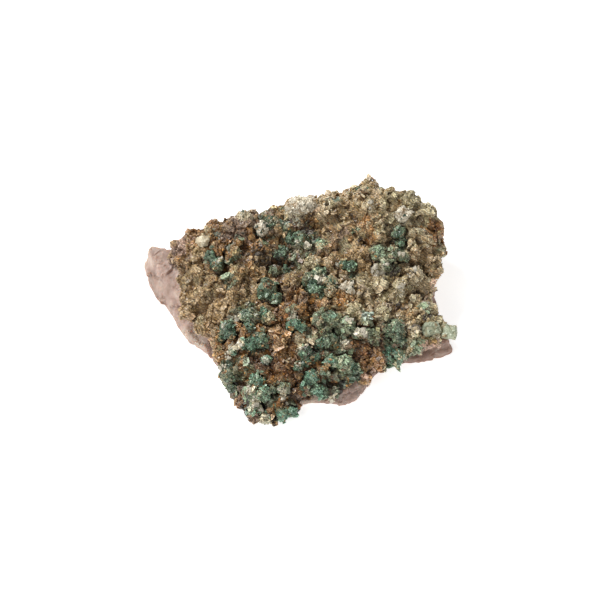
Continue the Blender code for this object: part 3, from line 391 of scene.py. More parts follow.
def blend(colours, colour, share):
    """Colours with a share of another colour."""
    return colours * (1 - share) + colour * share


def unit(vectors):
    """Vectors of length one."""
    return vectors / np.maximum(np.linalg.norm(vectors, axis=1), 1e-9)[:, None]


def plan_of(points):
    """Places in plan, in the frame of the CAD source."""
    return points[:, :2] - SHIFT[:2]


def squared_reach(plan, x, y):
    """Squared distance of each place in plan from another one."""
    return ((plan - (x, y)) ** 2).sum(axis=1)


def random_from(key):
    """A value from 0 to 1 that looks random and is the same for the same key."""
    return np.abs(np.sin(key * 12.9898) * 43758.5453) % 1.0


def noise_shift(points):
    """Uneven offsets that bend the borders between patches."""
    wave = points[:, [1, 2, 0]] * 1.9
    return 0.35 * np.sin(wave) + 0.2 * np.sin(wave[:, [1, 2, 0]] * 2.3 + 1.0)


def roughness_at(points, scales):
    """Sum of noise at each point: scales are pairs of size and amount."""
    values = np.zeros(len(points))
    for size, amount in scales:
        spots = points / size
        values += amount * np.array([noise.noise(Vector(spot)) for spot in spots])
    return values


def cells_at(points, size, seed):
    """Cells of scattered seeds: share of the way out of the nearest gap, seed and random value."""
    grid = np.floor(points / size)
    first = np.full(len(points), np.inf)
    second = np.full(len(points), np.inf)
    seeds = np.zeros_like(points)
    luck = np.zeros(len(points))
    for step in NEAR_CELLS:
        cell = grid + step
        key = (cell * (12.71, 31.17, 7.47)).sum(axis=1) + seed
        offsets = np.stack([random_from(key * turn) for turn in (1.0, 1.37, 1.91)], axis=1)
        spot = (cell + offsets) * size
        away = np.linalg.norm(spot - points, axis=1)
        nearer = away < first
        second = np.where(nearer, first, np.minimum(second, away))
        first = np.where(nearer, away, first)
        seeds = np.where(nearer[:, None], spot, seeds)
        luck = np.where(nearer, random_from(key * 2.3), luck)
    return np.clip((second - first) / size / GAP_SHARE, 0, 1), seeds, luck


def relief_at(points, relief, seed):
    """Height of an angular relief at each point."""
    height = np.zeros(len(points))
    for size, step, slope, depth in relief:
        bent = points + noise_shift(points) * size * CELL_BEND
        out, seeds, luck = cells_at(bent, size, seed)
        angle = luck * 53.0
        lean = np.stack([np.cos(angle), np.sin(angle), np.cos(angle * 1.7)], axis=1) * slope
        height += step * (luck - 0.5) + ((bent - seeds) * lean).sum(axis=1)
        height -= depth * (1 - out) ** 1.5
        seed += 3.7
    return height


def patch_luck(points, rng, seed=0.0):
    """A random value at each point that is nearly the same over one patch of growth."""
    luck = cells_at(points + noise_shift(points) * PATCH_BEND, PATCH_SIZE, seed)[2]
    return (luck + rng.normal(0, PATCH_BLEND, len(points))) % 1.0


def region_mixes(plan, luck):
    """The mix of one of the nearest regions at each place in plan, picked by luck."""
    places = np.array([(x, y) for x, y, _ in REGIONS], float)
    names = np.array([mix for _, _, mix in REGIONS])
    found = np.empty(len(plan), "U16")
    for start in range(0, len(plan), ROWS_AT_ONCE):
        rows = slice(start, start + ROWS_AT_ONCE)
        reach = ((plan[rows, None] - places) ** 2).sum(axis=2)
        weight = np.exp(-(reach - reach.min(axis=1)[:, None]) / (2 * REGION_REACH**2))
        total = np.cumsum(weight, axis=1)
        found[rows] = names[(total < luck[rows, None] * total[:, -1:]).sum(axis=1)]
    return found


def mixes_at(points, rng, cluster_mix=None):
    """The mix of druse at each point."""
    plan = plan_of(points)
    plan = plan + noise_shift(points)[:, :2] * PLACE_BEND + rng.normal(0, PLACE_BLUR, plan.shape)
    found = region_mixes(plan, patch_luck(points, rng, REGION_LUCK))
    if cluster_mix:
        found[patch_luck(points, rng, CLUSTER_LUCK) < CLUSTER_SHARE] = cluster_mix
    field_luck = patch_luck(points, rng, FIELD_LUCK)
    for x, y, radius, share in GREEN_FIELDS:
        away = squared_reach(plan, x, y) / radius**2
        inside = np.clip(FIELD_EDGE - FIELD_EDGE * away, 0, 1)
        found[field_luck < share * inside] = "sage"
    for x, y, radius, mix, share in SPOTS:
        near = squared_reach(plan, x, y) < radius**2
        found[near & (rng.random(len(points)) < share)] = mix
    return found


def mix_colours(mixes, luck):
    """Colours of mixes: partly one of a mix's tones, picked by luck, and partly their mean."""
    colours = np.zeros((len(mixes), 3))
    for name, shares in MIXES.items():
        members = np.flatnonzero(mixes == name)
        weights = np.array(list(shares.values()), float)
        weights /= weights.sum()
        tones = np.array([linear(tone) for tone in shares])
        picks = np.searchsorted(np.cumsum(weights), luck[members])
        picked = tones[np.minimum(picks, len(shares) - 1)]
        mean = (tones * weights[:, None]).sum(axis=0)
        colours[members] = blend(picked, mean, BLENDING)
    return colours


def tints_at(points, rng, shade, ridge, cluster_mix=None):
    """Colour at each point: painted lighter to the right, frosted and painted lighter on ridges,
    painted darker in hollows, rust stain with painted shade in half shade, and painted shade dark
    where no light gets in.
    """
    mixes = mixes_at(points, rng, cluster_mix)
    colours = mix_colours(mixes, patch_luck(points, rng))
    # Painted light: the colours get lighter to the right, away from the lamps on the left
    colours = colours * (1 + RIGHT_SIDE_PAINTED_LIGHT * points[:, :1])
    grey = colours.mean(axis=1)[:, None]
    colours = grey + (colours - grey) * SATURATION
    colours = colours * np.exp(rng.normal(0, UNEVENNESS, (len(points), 1))) * WARMTH
    # Painted highlight on ridges and painted shade in hollows
    colours = colours * np.clip(1 + RIDGE_PAINTED_LIGHT * ridge, *RIDGE_PAINTED_LIGHT_LIMITS)[:, None]
    # Frost tone, with a painted highlight that grows on ridges
    level, gain, most = FROST_AND_HIGHLIGHT_SHARES
    frost_and_highlight = np.clip(level + ridge * gain, 0, most)[:, None]
    frosted = np.isin(mixes, FROSTED) * np.clip((points[:, 0] - FROST_FROM) / FROST_WIDTH, 0, 1)
    frost_and_highlight = frost_and_highlight * (FROST_ELSEWHERE + (1 - FROST_ELSEWHERE) * frosted[:, None])
    colours = blend(colours, linear("frost"), frost_and_highlight)
    # Rust stain with painted shade, where less light gets in
    below, band, most = RUST_AND_SHADE
    rust_and_shade = np.clip((below - shade) / band - ridge, 0, 1)[:, None] * most
    colours = blend(colours, linear("rust"), rust_and_shade)
    # Painted shade: dark where no light gets in
    below, band, most = SHADE_DARKENING
    depth = np.clip((below - shade) / band, 0, 1)[:, None] * most
    return blend(colours, linear("dark") * SHADE_DARK_LIGHT, depth)


def arrays_of(obj):
    """Points and triangles of an object's mesh as it is evaluated."""
    graph = bpy.context.evaluated_depsgraph_get()
    mesh = bpy.data.meshes.new_from_object(obj.evaluated_get(graph))
    mesh.calc_loop_triangles()
    points = np.empty(len(mesh.vertices) * 3)
    mesh.vertices.foreach_get("co", points)
    faces = np.empty(len(mesh.loop_triangles) * 3, np.int32)
    mesh.loop_triangles.foreach_get("vertices", faces)
    bpy.data.meshes.remove(mesh)
    return points.reshape(-1, 3) / MM, faces.reshape(-1, 3)


def mesh_object(name, points, faces):
    """A mesh object with flat faces from points and triangles."""
    mesh = bpy.data.meshes.new(name)
    mesh.vertices.add(len(points))
    mesh.vertices.foreach_set("co", (points * MM).astype(np.float32).ravel())
    mesh.loops.add(len(faces) * 3)
    mesh.loops.foreach_set("vertex_index", faces.astype(np.int32).ravel())
    mesh.polygons.add(len(faces))
    mesh.polygons.foreach_set("loop_start", np.arange(0, len(faces) * 3, 3, dtype=np.int32))
    mesh.polygons.foreach_set("use_smooth", np.zeros(len(faces), bool))
    mesh.update(calc_edges=True)
    obj = bpy.data.objects.new(name, mesh)
    bpy.context.scene.collection.objects.link(obj)
    return obj


def paint(obj, tints, tip_shading):
    """Stores a colour and a tip value at each point of an object; on the druse both carry painted
    shade and highlight.
    """
    colour = obj.data.attributes.new("tint", "FLOAT_COLOR", "POINT")
    values = np.ones((len(tints), 4), np.float32)
    values[:, :3] = tints
    colour.data.foreach_set("color", values.ravel())
    tip = obj.data.attributes.new("tip", "FLOAT", "POINT")
    tip.data.foreach_set("value", tip_shading.astype(np.float32))


def add_piece(name, points, faces, tints, tip_shading, material, slot, node=None):
    """Adds a painted piece to the part, in the place of a CAD node if one is named."""
    piece = mesh_object(name, points, faces)
    paint(piece, tints, tip_shading)
    piece.data.materials.append(material)
    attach(piece, "root")
    if node:
        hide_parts(node)


def joined(parts):
    """Points and faces of several (points, faces) put into one."""
    points = []
    faces = []
    count = 0
    for some_points, some_faces in parts:
        points.append(some_points)
        faces.append(some_faces + count)
        count += len(some_points)
    return np.concatenate(points), np.concatenate(faces)


def merged(groups):
    """Groups of points, faces, tints and tips put into one."""
    tints, tip_shading = [np.concatenate([group[place] for group in groups]) for place in (2, 3)]
    return (*joined([group[:2] for group in groups]), tints, tip_shading)


def voxel_skin(points, faces, voxel):
    """One closed skin round overlapping closed shapes."""
    obj = mesh_object("skin", points, faces)
    modifier = obj.modifiers.new("skin", "REMESH")
    modifier.mode = "VOXEL"
    modifier.voxel_size = voxel * MM
    modifier.adaptivity = 0.0
    result = arrays_of(obj)
    bpy.data.objects.remove(obj, do_unlink=True)
    return result


def face_normals(corners):
    """Normals of triangles. Their lengths are twice the areas."""
    return np.cross(corners[:, 1] - corners[:, 0], corners[:, 2] - corners[:, 0])


def vertex_normals(points, faces):
    """Normals at the points of a mesh, weighted by the areas of its triangles."""
    normals = face_normals(points[faces])
    total = np.zeros_like(points)
    for corner in range(3):
        np.add.at(total, faces[:, corner], normals)
    return unit(total)


def smoothed(points, faces, rounds):
    """Points moved halfway to the middle of their neighbours, some times over."""
    ends = np.concatenate([faces[:, [0, 1]], faces[:, [1, 2]], faces[:, [2, 0]]])
    ends = np.concatenate([ends, ends[:, ::-1]])
    count = np.bincount(ends[:, 0], minlength=len(points))[:, None]
    for _ in range(rounds):
        total = np.zeros_like(points)
        for axis in range(3):
            weights = points[ends[:, 1], axis]
            total[:, axis] = np.bincount(ends[:, 0], weights=weights, minlength=len(points))
        points = points * 0.5 + total / np.maximum(count, 1) * 0.5
    return points


def soft_normals(points, faces, rounds):
    """Normals at the points of a mesh once it is smoothed."""
    return vertex_normals(smoothed(points, faces, rounds), faces)


def is_free(spot, key, cells, spacing):
    """Whether none of the kept spots in the cells around is nearer than the spacing."""
    for a, b, c in NEAR_CELLS:
        for other in cells.get((key[0] + a, key[1] + b, key[2] + c), ()):
            away = [other[axis] - spot[axis] for axis in range(3)]
            if away[0] ** 2 + away[1] ** 2 + away[2] ** 2 < spacing**2:
                return False
    return True


def spread(points, faces, spacing, rng):
    """Points on a surface at least a spacing apart, with the normals of their faces."""
    corners = points[faces]
    normals = face_normals(corners)
    areas = np.linalg.norm(normals, axis=1) / 2
    tries = int(areas.sum() / spacing**2 * TRIES_PER_SPACE)
    chosen = rng.choice(len(faces), tries, p=areas / areas.sum())
    u = rng.random(tries)
    v = rng.random(tries)
    over = u + v > 1
    u[over] = 1 - u[over]
    v[over] = 1 - v[over]
    spots = corners[chosen, 0] + u[:, None] * (corners[chosen, 1] - corners[chosen, 0])
    spots += v[:, None] * (corners[chosen, 2] - corners[chosen, 0])
    cells = {}
    kept = []
    keys = np.floor(spots / spacing).astype(int)
    for i, (spot, key) in enumerate(zip(spots, map(tuple, keys))):
        if is_free(spot, key, cells, spacing):
            cells.setdefault(key, []).append(spot)
            kept.append(i)
    return spots[kept], unit(normals[chosen[kept]])


def shade_at(tree, points, normals, rng):
    """Share of rays from each point that leave the surface freely."""
    directions = unit(rng.normal(size=(SHADE_DIRECTIONS, 3)))
    picks = rng.integers(0, SHADE_DIRECTIONS, (len(points), SHADE_RAYS))
    free = np.zeros(len(points))
    starts = points + normals * SHADE_START
    for i, (start, normal) in enumerate(zip(starts, normals)):
        origin = Vector(start)
        for pick in picks[i]:
            direction = directions[pick] + normal * SHADE_LEAN
            if tree.ray_cast(origin, Vector(direction), SHADE_REACH)[0] is None:
                free[i] += 1
    return free / SHADE_RAYS


def ridge_at(points, faces):
    """How far each point of a skin stands out of its smoothed surroundings."""
    away = points - smoothed(points, faces, RIDGE_ROUNDS)
    return (away * vertex_normals(points, faces)).sum(axis=1)


def nearest_values(points, spots, values):
    """The value of the nearest point for each spot."""
    tree = KDTree(len(points))
    for i, point in enumerate(points):
        tree.insert(point, i)
    tree.balance()
    return values[[tree.find(spot)[1] for spot in spots]]


BLOCK_POINTS = np.array(
    [(x + 0.2 * z, y - 0.14 * z, z * 0.9) for z in (-1, 1) for y in (-1, 1) for x in (-1, 1)]
)
BLOCK_FACES = np.array(
    [(0, 2, 3), (0, 3, 1), (4, 5, 7), (4, 7, 6), (0, 1, 5), (0, 5, 4)]
    + [(2, 6, 7), (2, 7, 3), (0, 4, 6), (0, 6, 2), (1, 3, 7), (1, 7, 5)]
)
POINT_RING = [(math.cos(k * math.tau / 5), math.sin(k * math.tau / 5)) for k in range(5)]
POINT_POINTS = np.array(
    [(x * 0.8, y * 0.8, -0.8) for x, y in POINT_RING]
    + [(x, y, 0.15) for x, y in POINT_RING]
    + [(0.12, -0.08, 1.1)]
)
POINT_FACES = np.array(
    [(0, 2, 1), (0, 3, 2), (0, 4, 3)]
    + [(k, (k + 1) % 5, 5 + (k + 1) % 5) for k in range(5)]
    + [(k, 5 + (k + 1) % 5, 5 + k) for k in range(5)]
    + [(5 + k, 5 + (k + 1) % 5, 10) for k in range(5)]
)
FLAKE_RING = [(1.25, 0.1), (0.5, 0.6), (-0.6, 0.8), (-1.1, 0.1), (-0.5, -0.6), (0.55, -0.7)]
FLAKE_POINTS = np.array(
    [(x, y, 0.16) for x, y in FLAKE_RING]
    + [(x * 0.75, y * 0.75, -0.25) for x, y in FLAKE_RING]
    + [(0.05, -0.05, 0.3)]
)
FLAKE_FACES = np.array(
    [(12, k, (k + 1) % 6) for k in range(6)]
    + [(k, 6 + k, 6 + (k + 1) % 6) for k in range(6)]
    + [(k, 6 + (k + 1) % 6, (k + 1) % 6) for k in range(6)]
    + [(6, 8, 7), (6, 9, 8), (6, 10, 9), (6, 11, 10)]
)
# Flakes, blocks and points: shape, faces and tip values, with rims lighter as painted highlight and
# roots darker as painted shade
CRYSTAL_SHAPES = (
    (FLAKE_POINTS, FLAKE_FACES, np.array([1.0] * 6 + [0.1] * 6 + [0.5])),
    (BLOCK_POINTS, BLOCK_FACES, np.array([0.1] * 4 + [0.9] * 4)),
    (POINT_POINTS, POINT_FACES, np.array([0.1] * 5 + [0.5] * 5 + [1.0])),
)
# Tip values from here on are a crystal's rim, which gets a pale painted highlight
RIM_TIP = 0.95


def turns_along(normals, tilt, rng):
    """Rotation matrices whose third axis is near each normal."""
    up = unit(normals + rng.normal(0, tilt, normals.shape))
    side = unit(np.cross(up, rng.normal(size=normals.shape)))
    return np.stack([side, np.cross(up, side), up], axis=2)


def grown(shape_points, shape_faces, centres, turns, sizes, rng):
    """Copies of one crystal in one mesh, each turned, stretched and set on its centre."""
    count = len(centres)
    stretch = rng.uniform(1 - STRETCHING, 1 + STRETCHING, (count, 1, 3))
    uneven = 1 + rng.normal(0, MISSHAPE, (count, len(shape_points), 1))
    local = shape_points[None] * stretch * uneven * sizes[:, None, None]
    placed = np.einsum("nij,nkj->nki", turns, local) + centres[:, None]
    faces = shape_faces[None] + (np.arange(count) * len(shape_points))[:, None, None]
    return placed.reshape(-1, 3), faces.reshape(-1, 3)


class Painter:
    """A new material and the nodes that feed its shader."""

    def __init__(self, name):
        self.material = bpy.data.materials.new(name)
        self.material.use_nodes = True
        self.tree = self.material.node_tree

    @cached_property
    def place(self):
        return self.add("TexCoord", "Object")

    @cached_property
    def tint(self):
        return self.add("Attribute", "Color", attribute_name="tint")

    def add(self, kind, output, inputs=(), **settings):
        """The named output of a new node."""
        node = self.tree.nodes.new("ShaderNode" + kind)
        for key, value in settings.items():
            setattr(node, key, value)
        self.feed(node, dict(inputs))
        return node.outputs[output]

    def feed(self, node, inputs):
        """Links the inputs that are sockets and sets the others."""
        for key, value in inputs.items():
            if isinstance(value, bpy.types.NodeSocket):
                self.tree.links.new(value, node.inputs[key])
            else:
                node.inputs[key].default_value = value

    def noise(self, scale, detail, roughness=0.5):
        inputs = {"Vector": self.place, "Scale": scale, "Detail": detail, "Roughness": roughness}
        return self.add("TexNoise", "Fac", inputs)

    def ranged(self, value, least, most, start, end):
        """A value from least to most brought to a range from start to end."""
        inputs = {"From Min": least, "From Max": most, "To Min": start, "To Max": end}
        return self.add("MapRange", "Result", {"Value": value, **inputs})

    def product(self, first, second):
        return self.add("Math", "Value", {0: first, 1: second}, operation="MULTIPLY")

    def scaled(self, colour, share):
        return self.add("VectorMath", "Vector", {0: colour, "Scale": share}, operation="SCALE")

    def bump(self, height, strength, distance):
        inputs = {"Height": height, "Strength": strength, "Distance": distance}
        return self.add("Bump", "Normal", inputs)

    def finish(self, inputs):
        """Feeds the shader and gives the material."""
        self.feed(self.tree.nodes["Principled BSDF"], inputs)
        return self.material


def druse_material(name, gloss):
    """Glassy crystals: roots darker as painted shade and rims lighter as painted highlight, from
    the tip values, with mottling, cracks, growth stripes and uneven polish.
    """
    painter = Painter(name)
    tip = painter.add("Attribute", "Fac", attribute_name="tip")
    # Painted light: low tip values darken crystal roots as painted shade, high ones lighten rims as
    # painted highlight
    rise = painter.add("FloatCurve", "Value", {"Value": tip})
    mapping = rise.node.mapping
    mapping.curves[0].points[0].location = (0.0, 0.2)
    mapping.curves[0].points[1].location = (1.0, 0.95)
    for along, value in ((0.45, 0.48), (0.8, 0.58)):
        mapping.curves[0].points.new(along, value)
    mapping.update()
    fine = painter.noise(2600, 4, 0.65)
    grain = painter.add("TexVoronoi", "Distance", {"Vector": painter.place, "Scale": 1900})
    edges = {"Vector": painter.place, "Scale": 1500}
    cracks = painter.add("TexVoronoi", "Distance", edges, feature="DISTANCE_TO_EDGE")
    waves = {"Vector": painter.place, "Scale": 520, "Distortion": 11, "Detail": 3}
    waves["Detail Scale"] = 1.3
    stripes = painter.add("TexWave", "Fac", waves, bands_direction="DIAGONAL")
    share = painter.product(painter.ranged(fine, 0.32, 0.68, 1.15, 2.35), rise)
    share = painter.product(share, painter.ranged(cracks, 0, 0.12, 0.6, 1))
    share = painter.product(share, painter.ranged(stripes, 0, 1, 0.6, 1.35))
    return painter.finish({
        "Base Color": painter.scaled(painter.tint, share),
        "Roughness": painter.ranged(grain, 0, 0.8, gloss - 0.18, gloss + 0.25),
        "Normal": painter.bump(fine, 0.5, 0.00012),
        "IOR": 1.6,
        "Subsurface Weight": 0.2,
        "Subsurface Radius": (0.0006, 0.0005, 0.0004),
        "Subsurface Scale": 1.0,
    })


def rock_material():
    """Pink carbonate rock: beige and white patches, fine grain and stored stains."""
    painter = Painter("pink_rock")
    patches = painter.add("ValToRGB", "Color", {"Fac": painter.noise(150, 6, 0.6)})
    ramp = patches.node.color_ramp
    ramp.elements[0].position = 0.36
    ramp.elements[0].color = (*(linear("pink") * 0.7 * (1.0, 0.97, 0.9)), 1)
    ramp.elements[1].position = 0.63
    ramp.elements[1].color = (*linear("pale_pink"), 1)
    ramp.elements.new(0.5).color = (*linear("pink"), 1)
    layers = {"Factor": 1.0, "A": patches, "B": painter.tint}
    stained = painter.add("Mix", "Result", layers, data_type="RGBA", blend_type="MULTIPLY")
    fine = painter.noise(1500, 5, 0.7)
    return painter.finish({
        "Base Color": painter.scaled(stained, painter.ranged(fine, 0.3, 0.7, 0.84, 1.12)),
        "Roughness": 0.55,
        "Normal": painter.bump(fine, 0.3, 0.00015),
        "Subsurface Weight": 0.5,
        "Subsurface Radius": (0.0022, 0.0014, 0.0010),
        "Subsurface Scale": 1.0,
    })


def calcite_material():
    """Milky calcite with cloudy patches."""
    painter = Painter("milky_calcite")
    cloud = painter.noise(900, 5)
    return painter.finish({
        "Base Color": painter.scaled(painter.tint, painter.ranged(cloud, 0.35, 0.65, 0.75, 1.05)),
        "Roughness": 0.3,
        "Normal": painter.bump(cloud, 0.3, 0.0001),
        "IOR": 1.6,
    })


def build_rock():
    """The rock: broken facets, fine grain, a flat foot, and stains near its lower right edge."""
    points, faces = voxel_skin(*arrays_of(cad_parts["matrix"]), ROCK_VOXEL)
    points = smoothed(points, faces, 2)
    normals = vertex_normals(points, faces)
    lift = relief_at(points, ROCK_RELIEF, ROCK_CELLS) + roughness_at(points, ROCK_GRAIN)
    hold = np.clip((points[:, 2] - FOOT_TOP) / FOOT_BAND, 0, 1)
    points = points + normals * (lift * hold)[:, None]
    points[:, 2] = np.maximum(points[:, 2], 0)
    rng = np.random.default_rng(ROCK_SEED)
    right = np.clip((plan_of(points)[:, 0] - STAIN_FROM) / STAIN_WIDTH, 0, 1)[:, None]
    grime = np.clip(roughness_at(points + 40, GRIME_NOISE), 0, 1)[:, None]
    clean, grimy = STAIN_SHARES
    tints = np.full((len(points), 3), ROCK_LIGHT)
    tints *= 1 - right * (clean + grimy * grime) * np.array(STAIN_COLOUR)
    tints *= 1 - GRIME_SHARE * grime * np.array(GRIME_COLOUR)
    tints *= np.exp(rng.normal(0, ROCK_UNEVENNESS, (len(points), 1)))
    tip_shading = np.ones(len(points))
    add_piece("rock", points, faces, tints, tip_shading, rock_material(), "matrix", "matrix")
    return points, faces


def closed_gaps(points, faces, voxel, reach):
    """The skin grown by a reach, rejoined and shrunk back, so that narrow gaps are filled."""
    points = points + soft_normals(points, faces, 2) * reach
    points, faces = voxel_skin(points, faces, voxel)
    points = smoothed(points, faces, 2)
    return points - soft_normals(points, faces, 2) * reach, faces


def at_rim(points, normals):
    """Which of the points are on the crust's left rim."""
    return (normals[:, 2] < RIM_SLOPE) & (points[:, 0] < RIM_BEFORE)


def skin_of(name, voxel, relief, closing=0.0, softening=1):
    """The finer skin of a CAD node's solid."""
    points, faces = voxel_skin(*arrays_of(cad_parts[name]), voxel)
    if closing:
        points, faces = closed_gaps(points, faces, voxel, closing)
    points = smoothed(points, faces, softening)
    normals = soft_normals(points, faces, 3)
    lift = relief_at(points, relief, DRUSE_CELLS) + roughness_at(points, SKIN_GRAIN) + SKIN_LIFT
    lift = np.where(at_rim(points, normals), lift * RIM_LIFT, lift)
    points = points + normals * lift[:, None]
    points[:, 2] = np.maximum(points[:, 2], SKIN_FLOOR)
    return points, faces


def bare_at(spots, rng):
    """Which of the spots get no crystal."""
    plan = plan_of(spots)
    bare = np.zeros(len(spots), bool)
    for x, y, radius, share in BARE_SPOTS:
        near = squared_reach(plan, x, y) < radius**2
        bare |= near & (rng.random(len(spots)) < share)
    return bare


def growing_spots(points, faces, tree, rng, spacing):
    """Spots on a skin where crystals grow, with their normals and the light that gets there."""
    spots, normals = spread(points, faces, spacing, rng)
    wanted = normals[:, 2] > LOWEST_FACING
    spots, normals = spots[wanted], normals[wanted]
    shade = shade_at(tree, spots, normals, rng)
    grows = (shade > LEAST_LIGHT) & ~bare_at(spots, rng)
    return spots[grows], normals[grows], shade[grows]


def crystal_cover(points, faces, tree, rng, layers, cluster_mix=None):
    """Crystals on a skin: a list of groups of like crystals, each with its tints and tip values,
    both holding painted shade and highlight.
    """
    ridges = ridge_at(points, faces)
    rim_highlight_colour = linear("mint" if cluster_mix else "frost")
    groups = []
    for spacing, least, most, lift, tilt, flakes in layers:
        spots, normals, shade = growing_spots(points, faces, tree, rng, spacing)
        sizes = rng.uniform(least, most, len(spots)) * (SHADED_SIZE + LIGHT_GAIN * shade)
        sizes = np.where(at_rim(spots, normals), np.minimum(sizes, RIM_CRYSTAL), sizes)
        sizes = np.minimum(sizes, spots[:, 2] / CRYSTAL_REACH + 0.1)
        tints = tints_at(spots, rng, shade, nearest_values(points, spots, ridges), cluster_mix)
        stand = sizes * (lift + rng.uniform(-LIFT_SPREAD, LIFT_SPREAD, len(spots)))
        centres = spots + normals * stand[:, None]
        centres[:, 2] = np.maximum(centres[:, 2], sizes * CRYSTAL_REACH)
        others = (1 - flakes) / 2
        kinds = rng.choice(3, len(spots), p=[flakes, others, others])
        for kind, (shape_points, shape_faces, lightness) in enumerate(CRYSTAL_SHAPES):
            chosen = kinds == kind
            if not chosen.any():
                continue
            turns = turns_along(normals[chosen], tilt, rng)
            placed = grown(shape_points, shape_faces, centres[chosen], turns, sizes[chosen], rng)
            tip_shading = np.tile(lightness, chosen.sum())
            colours = np.repeat(tints[chosen], len(shape_points), axis=0)
            # Painted highlight: pale crystal rims
            rim_highlights = np.where(tip_shading > RIM_TIP, RIM_HIGHLIGHT, 0.0)[:, None]
            groups.append((*placed, blend(colours, rim_highlight_colour, rim_highlights), tip_shading))
    return groups


def build_druse(rock):
    """The crust and the rosasite clusters, each with its cover of crystals."""
    rng = np.random.default_rng(DRUSE_SEED)
    crust = skin_of("crust", CRUST_VOXEL, CRUST_RELIEF, CRUST_CLOSING, CRUST_SOFTENING)
    names = [name for name in sorted(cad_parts) if name.startswith("rosasite")]
    clusters = [skin_of(name, BALL_VOXEL, BALL_RELIEF) for name in names]
    everything = joined([rock, crust, *clusters])
    tree = BVHTree.FromPolygons(everything[0].tolist(), everything[1].tolist())
    material = druse_material("crust_druse", 0.36)
    green = druse_material("rosasite_druse", 0.3)
    shade = shade_at(tree, crust[0], vertex_normals(*crust), rng)
    # Painted shade: the skin is darker beneath its crystals, and its tint holds painted shade and
    # highlight
    tints = tints_at(crust[0], rng, shade, ridge_at(*crust)) * CRUST_UNDER_SHADE
    tip_shading = np.full(len(tints), CRUST_TIP_SHADING)
    add_piece("crust_base", *crust, tints, tip_shading, material, "crust", "crust")
    for number, group in enumerate(crystal_cover(*crust, tree, rng, CRYSTAL_LAYERS), 1):
        add_piece(f"crust_crystals_{number}", *group, material, "crust")
    for name, skin, mix in zip(names, clusters, CLUSTER_MIXES):
        shade = shade_at(tree, skin[0], vertex_normals(*skin), rng)
        # Painted shade: the ball skin is darker beneath its crystals
        tints = tints_at(skin[0], rng, shade, ridge_at(*skin), mix) * BALL_UNDER_SHADE
        balls = [(*skin, tints, np.full(len(tints), BALL_TIP_SHADING))]
        balls += crystal_cover(*skin, tree, rng, BALL_LAYERS, mix)
        add_piece(f"{name}_balls", *merged(balls), green, "rosasite", name)
    return tree


def stained(points, height, tone, name, rng):
    """Tints of a calcite surface: its tone, painted shade in the low places, patches of dirt and
    dark green specks.
    """
    tints = np.tile(linear(tone), (len(points), 1))
    tints = tints * np.exp(rng.normal(0, CALCITE_UNEVENNESS, (len(points), 1)))
    # Painted shade: darker tan in the low places of the relief
    hollow_shade = np.clip(-height / HOLLOW_SHADE_DEPTH, 0, 1)[:, None] * HOLLOW_SHADE_SHARE
    tints = blend(tints, linear("tan"), hollow_shade)
    patches = np.clip(roughness_at(points + 30, DIRT_NOISE) - DIRT_FROM, 0, DIRT_MOST)
    tints = blend(tints, linear("tan"), patches[:, None])
    luck = cells_at(points + noise_shift(points * 3) * PATCH_BEND, SPECK_SIZE, SPECK_CELLS)[2]
    tints[luck < CALCITE_SPECKS.get(name, FEW_SPECKS)] = linear("moss") * 0.8
    return tints


def plates_on(points, faces, tone, name, rng):
    """Small plates on a calcite surface, with tints and tip values."""
    spacing, least, most, tilt, lift = PLATES
    spots, normals = spread(points, faces, spacing, rng)
    sizes = rng.uniform(least, most, len(spots))
    turns = turns_along(normals, tilt, rng)
    plates = grown(FLAKE_POINTS, FLAKE_FACES, spots + normals * lift, turns, sizes, rng)
    tints = stained(spots, np.zeros(len(spots)), tone, name, rng)
    return (*plates, np.repeat(tints, len(FLAKE_POINTS), axis=0), np.ones(len(plates[0])))


def small_crystals(tree, rng):
    """Groups of white crystals, set on the crust under their places in plan."""
    groups = []
    for x, y, size in WHITE_CRYSTALS:
        for _ in range(CRYSTALS_TOGETHER):
            away = rng.normal(0, size * SMALL_SCATTER, 2)
            above = Vector((x + SHIFT[0] + away[0], y + SHIFT[1] + away[1], OVERHEAD))
            place, normal, _, _ = tree.ray_cast(above, Vector((0, 0, -1)))
            if place is None:
                continue
            half = size * rng.uniform(*SMALL_SIZES)
            centre = np.array([place + normal * half * SMALL_LIFT])
            turn = turns_along(np.array([normal]), SMALL_TILT, rng)
            shape_points, shape_faces, lightness = CRYSTAL_SHAPES[rng.integers(3)]
            points, faces = grown(shape_points, shape_faces, centre, turn, np.array([half]), rng)
            tints = np.tile(linear("white") * rng.uniform(*SMALL_LIGHT), (len(points), 1))
            groups.append((points, faces, tints, lightness))
    return merged(groups)


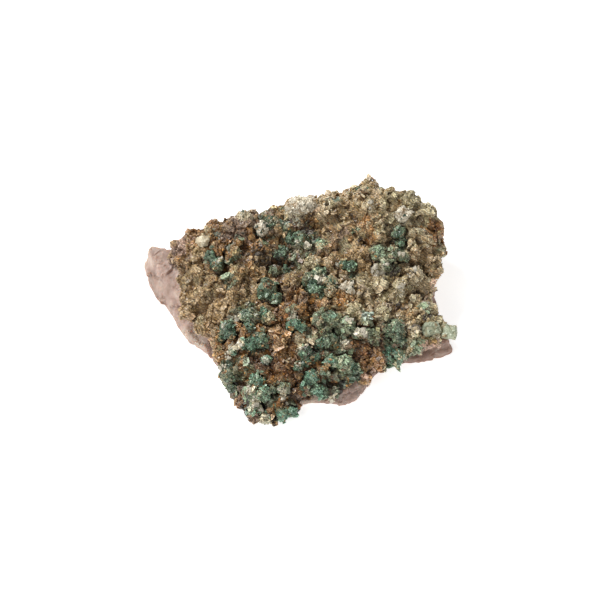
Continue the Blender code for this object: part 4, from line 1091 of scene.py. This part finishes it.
def build_calcite(tree):
    """Each calcite crystal or slab, with facets, growth steps, small plates, a little dirt and
    painted shade in the low places.
    """
    rng = np.random.default_rng(CALCITE_SEED)
    material = calcite_material()
    for name, tone in CALCITE_TONES.items():
        points, faces = voxel_skin(*arrays_of(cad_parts[name]), CALCITE_VOXEL)
        points = smoothed(points, faces, 2)
        normals = soft_normals(points, faces, 3)
        height = relief_at(points, CALCITE_RELIEF, CALCITE_CELLS)
        height *= PLAIN_RELIEF if name in CALCITE_PLAIN else 1.0
        lift = height + roughness_at(points, CALCITE_GRAIN) + SKIN_LIFT
        points = points + normals * lift[:, None]
        points[:, 2] = np.maximum(points[:, 2], SKIN_FLOOR)
        groups = [(points, faces, stained(points, height, tone, name, rng), np.ones(len(points)))]
        if name not in CALCITE_PLAIN:
            groups.append(plates_on(points, faces, tone, name, rng))
        add_piece(f"{name}_body", *merged(groups), material, "calcite", name)
    add_piece("calcite_small", *small_crystals(tree, rng), material, "calcite")


def build_studio():
    """White floor, even bright surroundings and two broad lamps on the left."""
    corners = [(-1, -1, 0), (1, -1, 0), (1, 1, 0), (-1, 1, 0)]
    faces = np.array([(0, 1, 2), (0, 2, 3)])
    floor = mesh_object("floor", np.array(corners, float) * FLOOR_HALF, faces)
    floor.data.materials.append(Painter("floor_white").finish({
        "Base Color": (FLOOR_WHITE, FLOOR_WHITE, FLOOR_WHITE, 1),
        "Roughness": 0.9,
        "Specular IOR Level": 0.1,
        "Emission Color": (1, 1, 1, 1),
        "Emission Strength": FLOOR_GLOW,
    }))
    world = bpy.data.worlds.new("studio")
    world.use_nodes = True
    background = world.node_tree.nodes["Background"]
    background.inputs["Color"].default_value = (1, 1, 1, 1)
    background.inputs["Strength"].default_value = SKY_STRENGTH
    bpy.context.scene.world = world
    for lamp in LAMPS:
        add_lamp(*lamp)
    bpy.context.scene.view_settings.view_transform = "Standard"
    bpy.context.scene.view_settings.look = "None"


def aimed(name, data, place, direction):
    """Adds an object that looks in a direction."""
    obj = bpy.data.objects.new(name, data)
    obj.location = place
    obj.rotation_euler = direction.to_track_quat("-Z", "Y").to_euler()
    bpy.context.scene.collection.objects.link(obj)
    return obj


def add_lamp(name, place, side, power):
    """Adds a square lamp that shines on the part."""
    light = bpy.data.lights.new(name, "AREA")
    light.shape = "SQUARE"
    light.size = side * MM
    light.energy = power
    spot = Vector(place) * MM
    aimed(name, light, spot, Vector(LAMP_AIM) * MM - spot)


def add_camera():
    """Adds the camera of the photograph."""
    data = bpy.data.cameras.new("camera")
    data.lens = LENS
    data.sensor_width = SENSOR
    data.clip_start, data.clip_end = CLIP
    target = Vector((np.array(AIM) + SHIFT) * MM)
    rise = math.radians(ELEVATION)
    back = Vector((0, -math.cos(rise), math.sin(rise)))
    spot = target + back * DISTANCE * MM
    bpy.context.scene.camera = aimed("camera", data, spot, -back)


rock = build_rock()
tree = build_druse(rock)
build_calcite(tree)
build_studio()
add_camera()
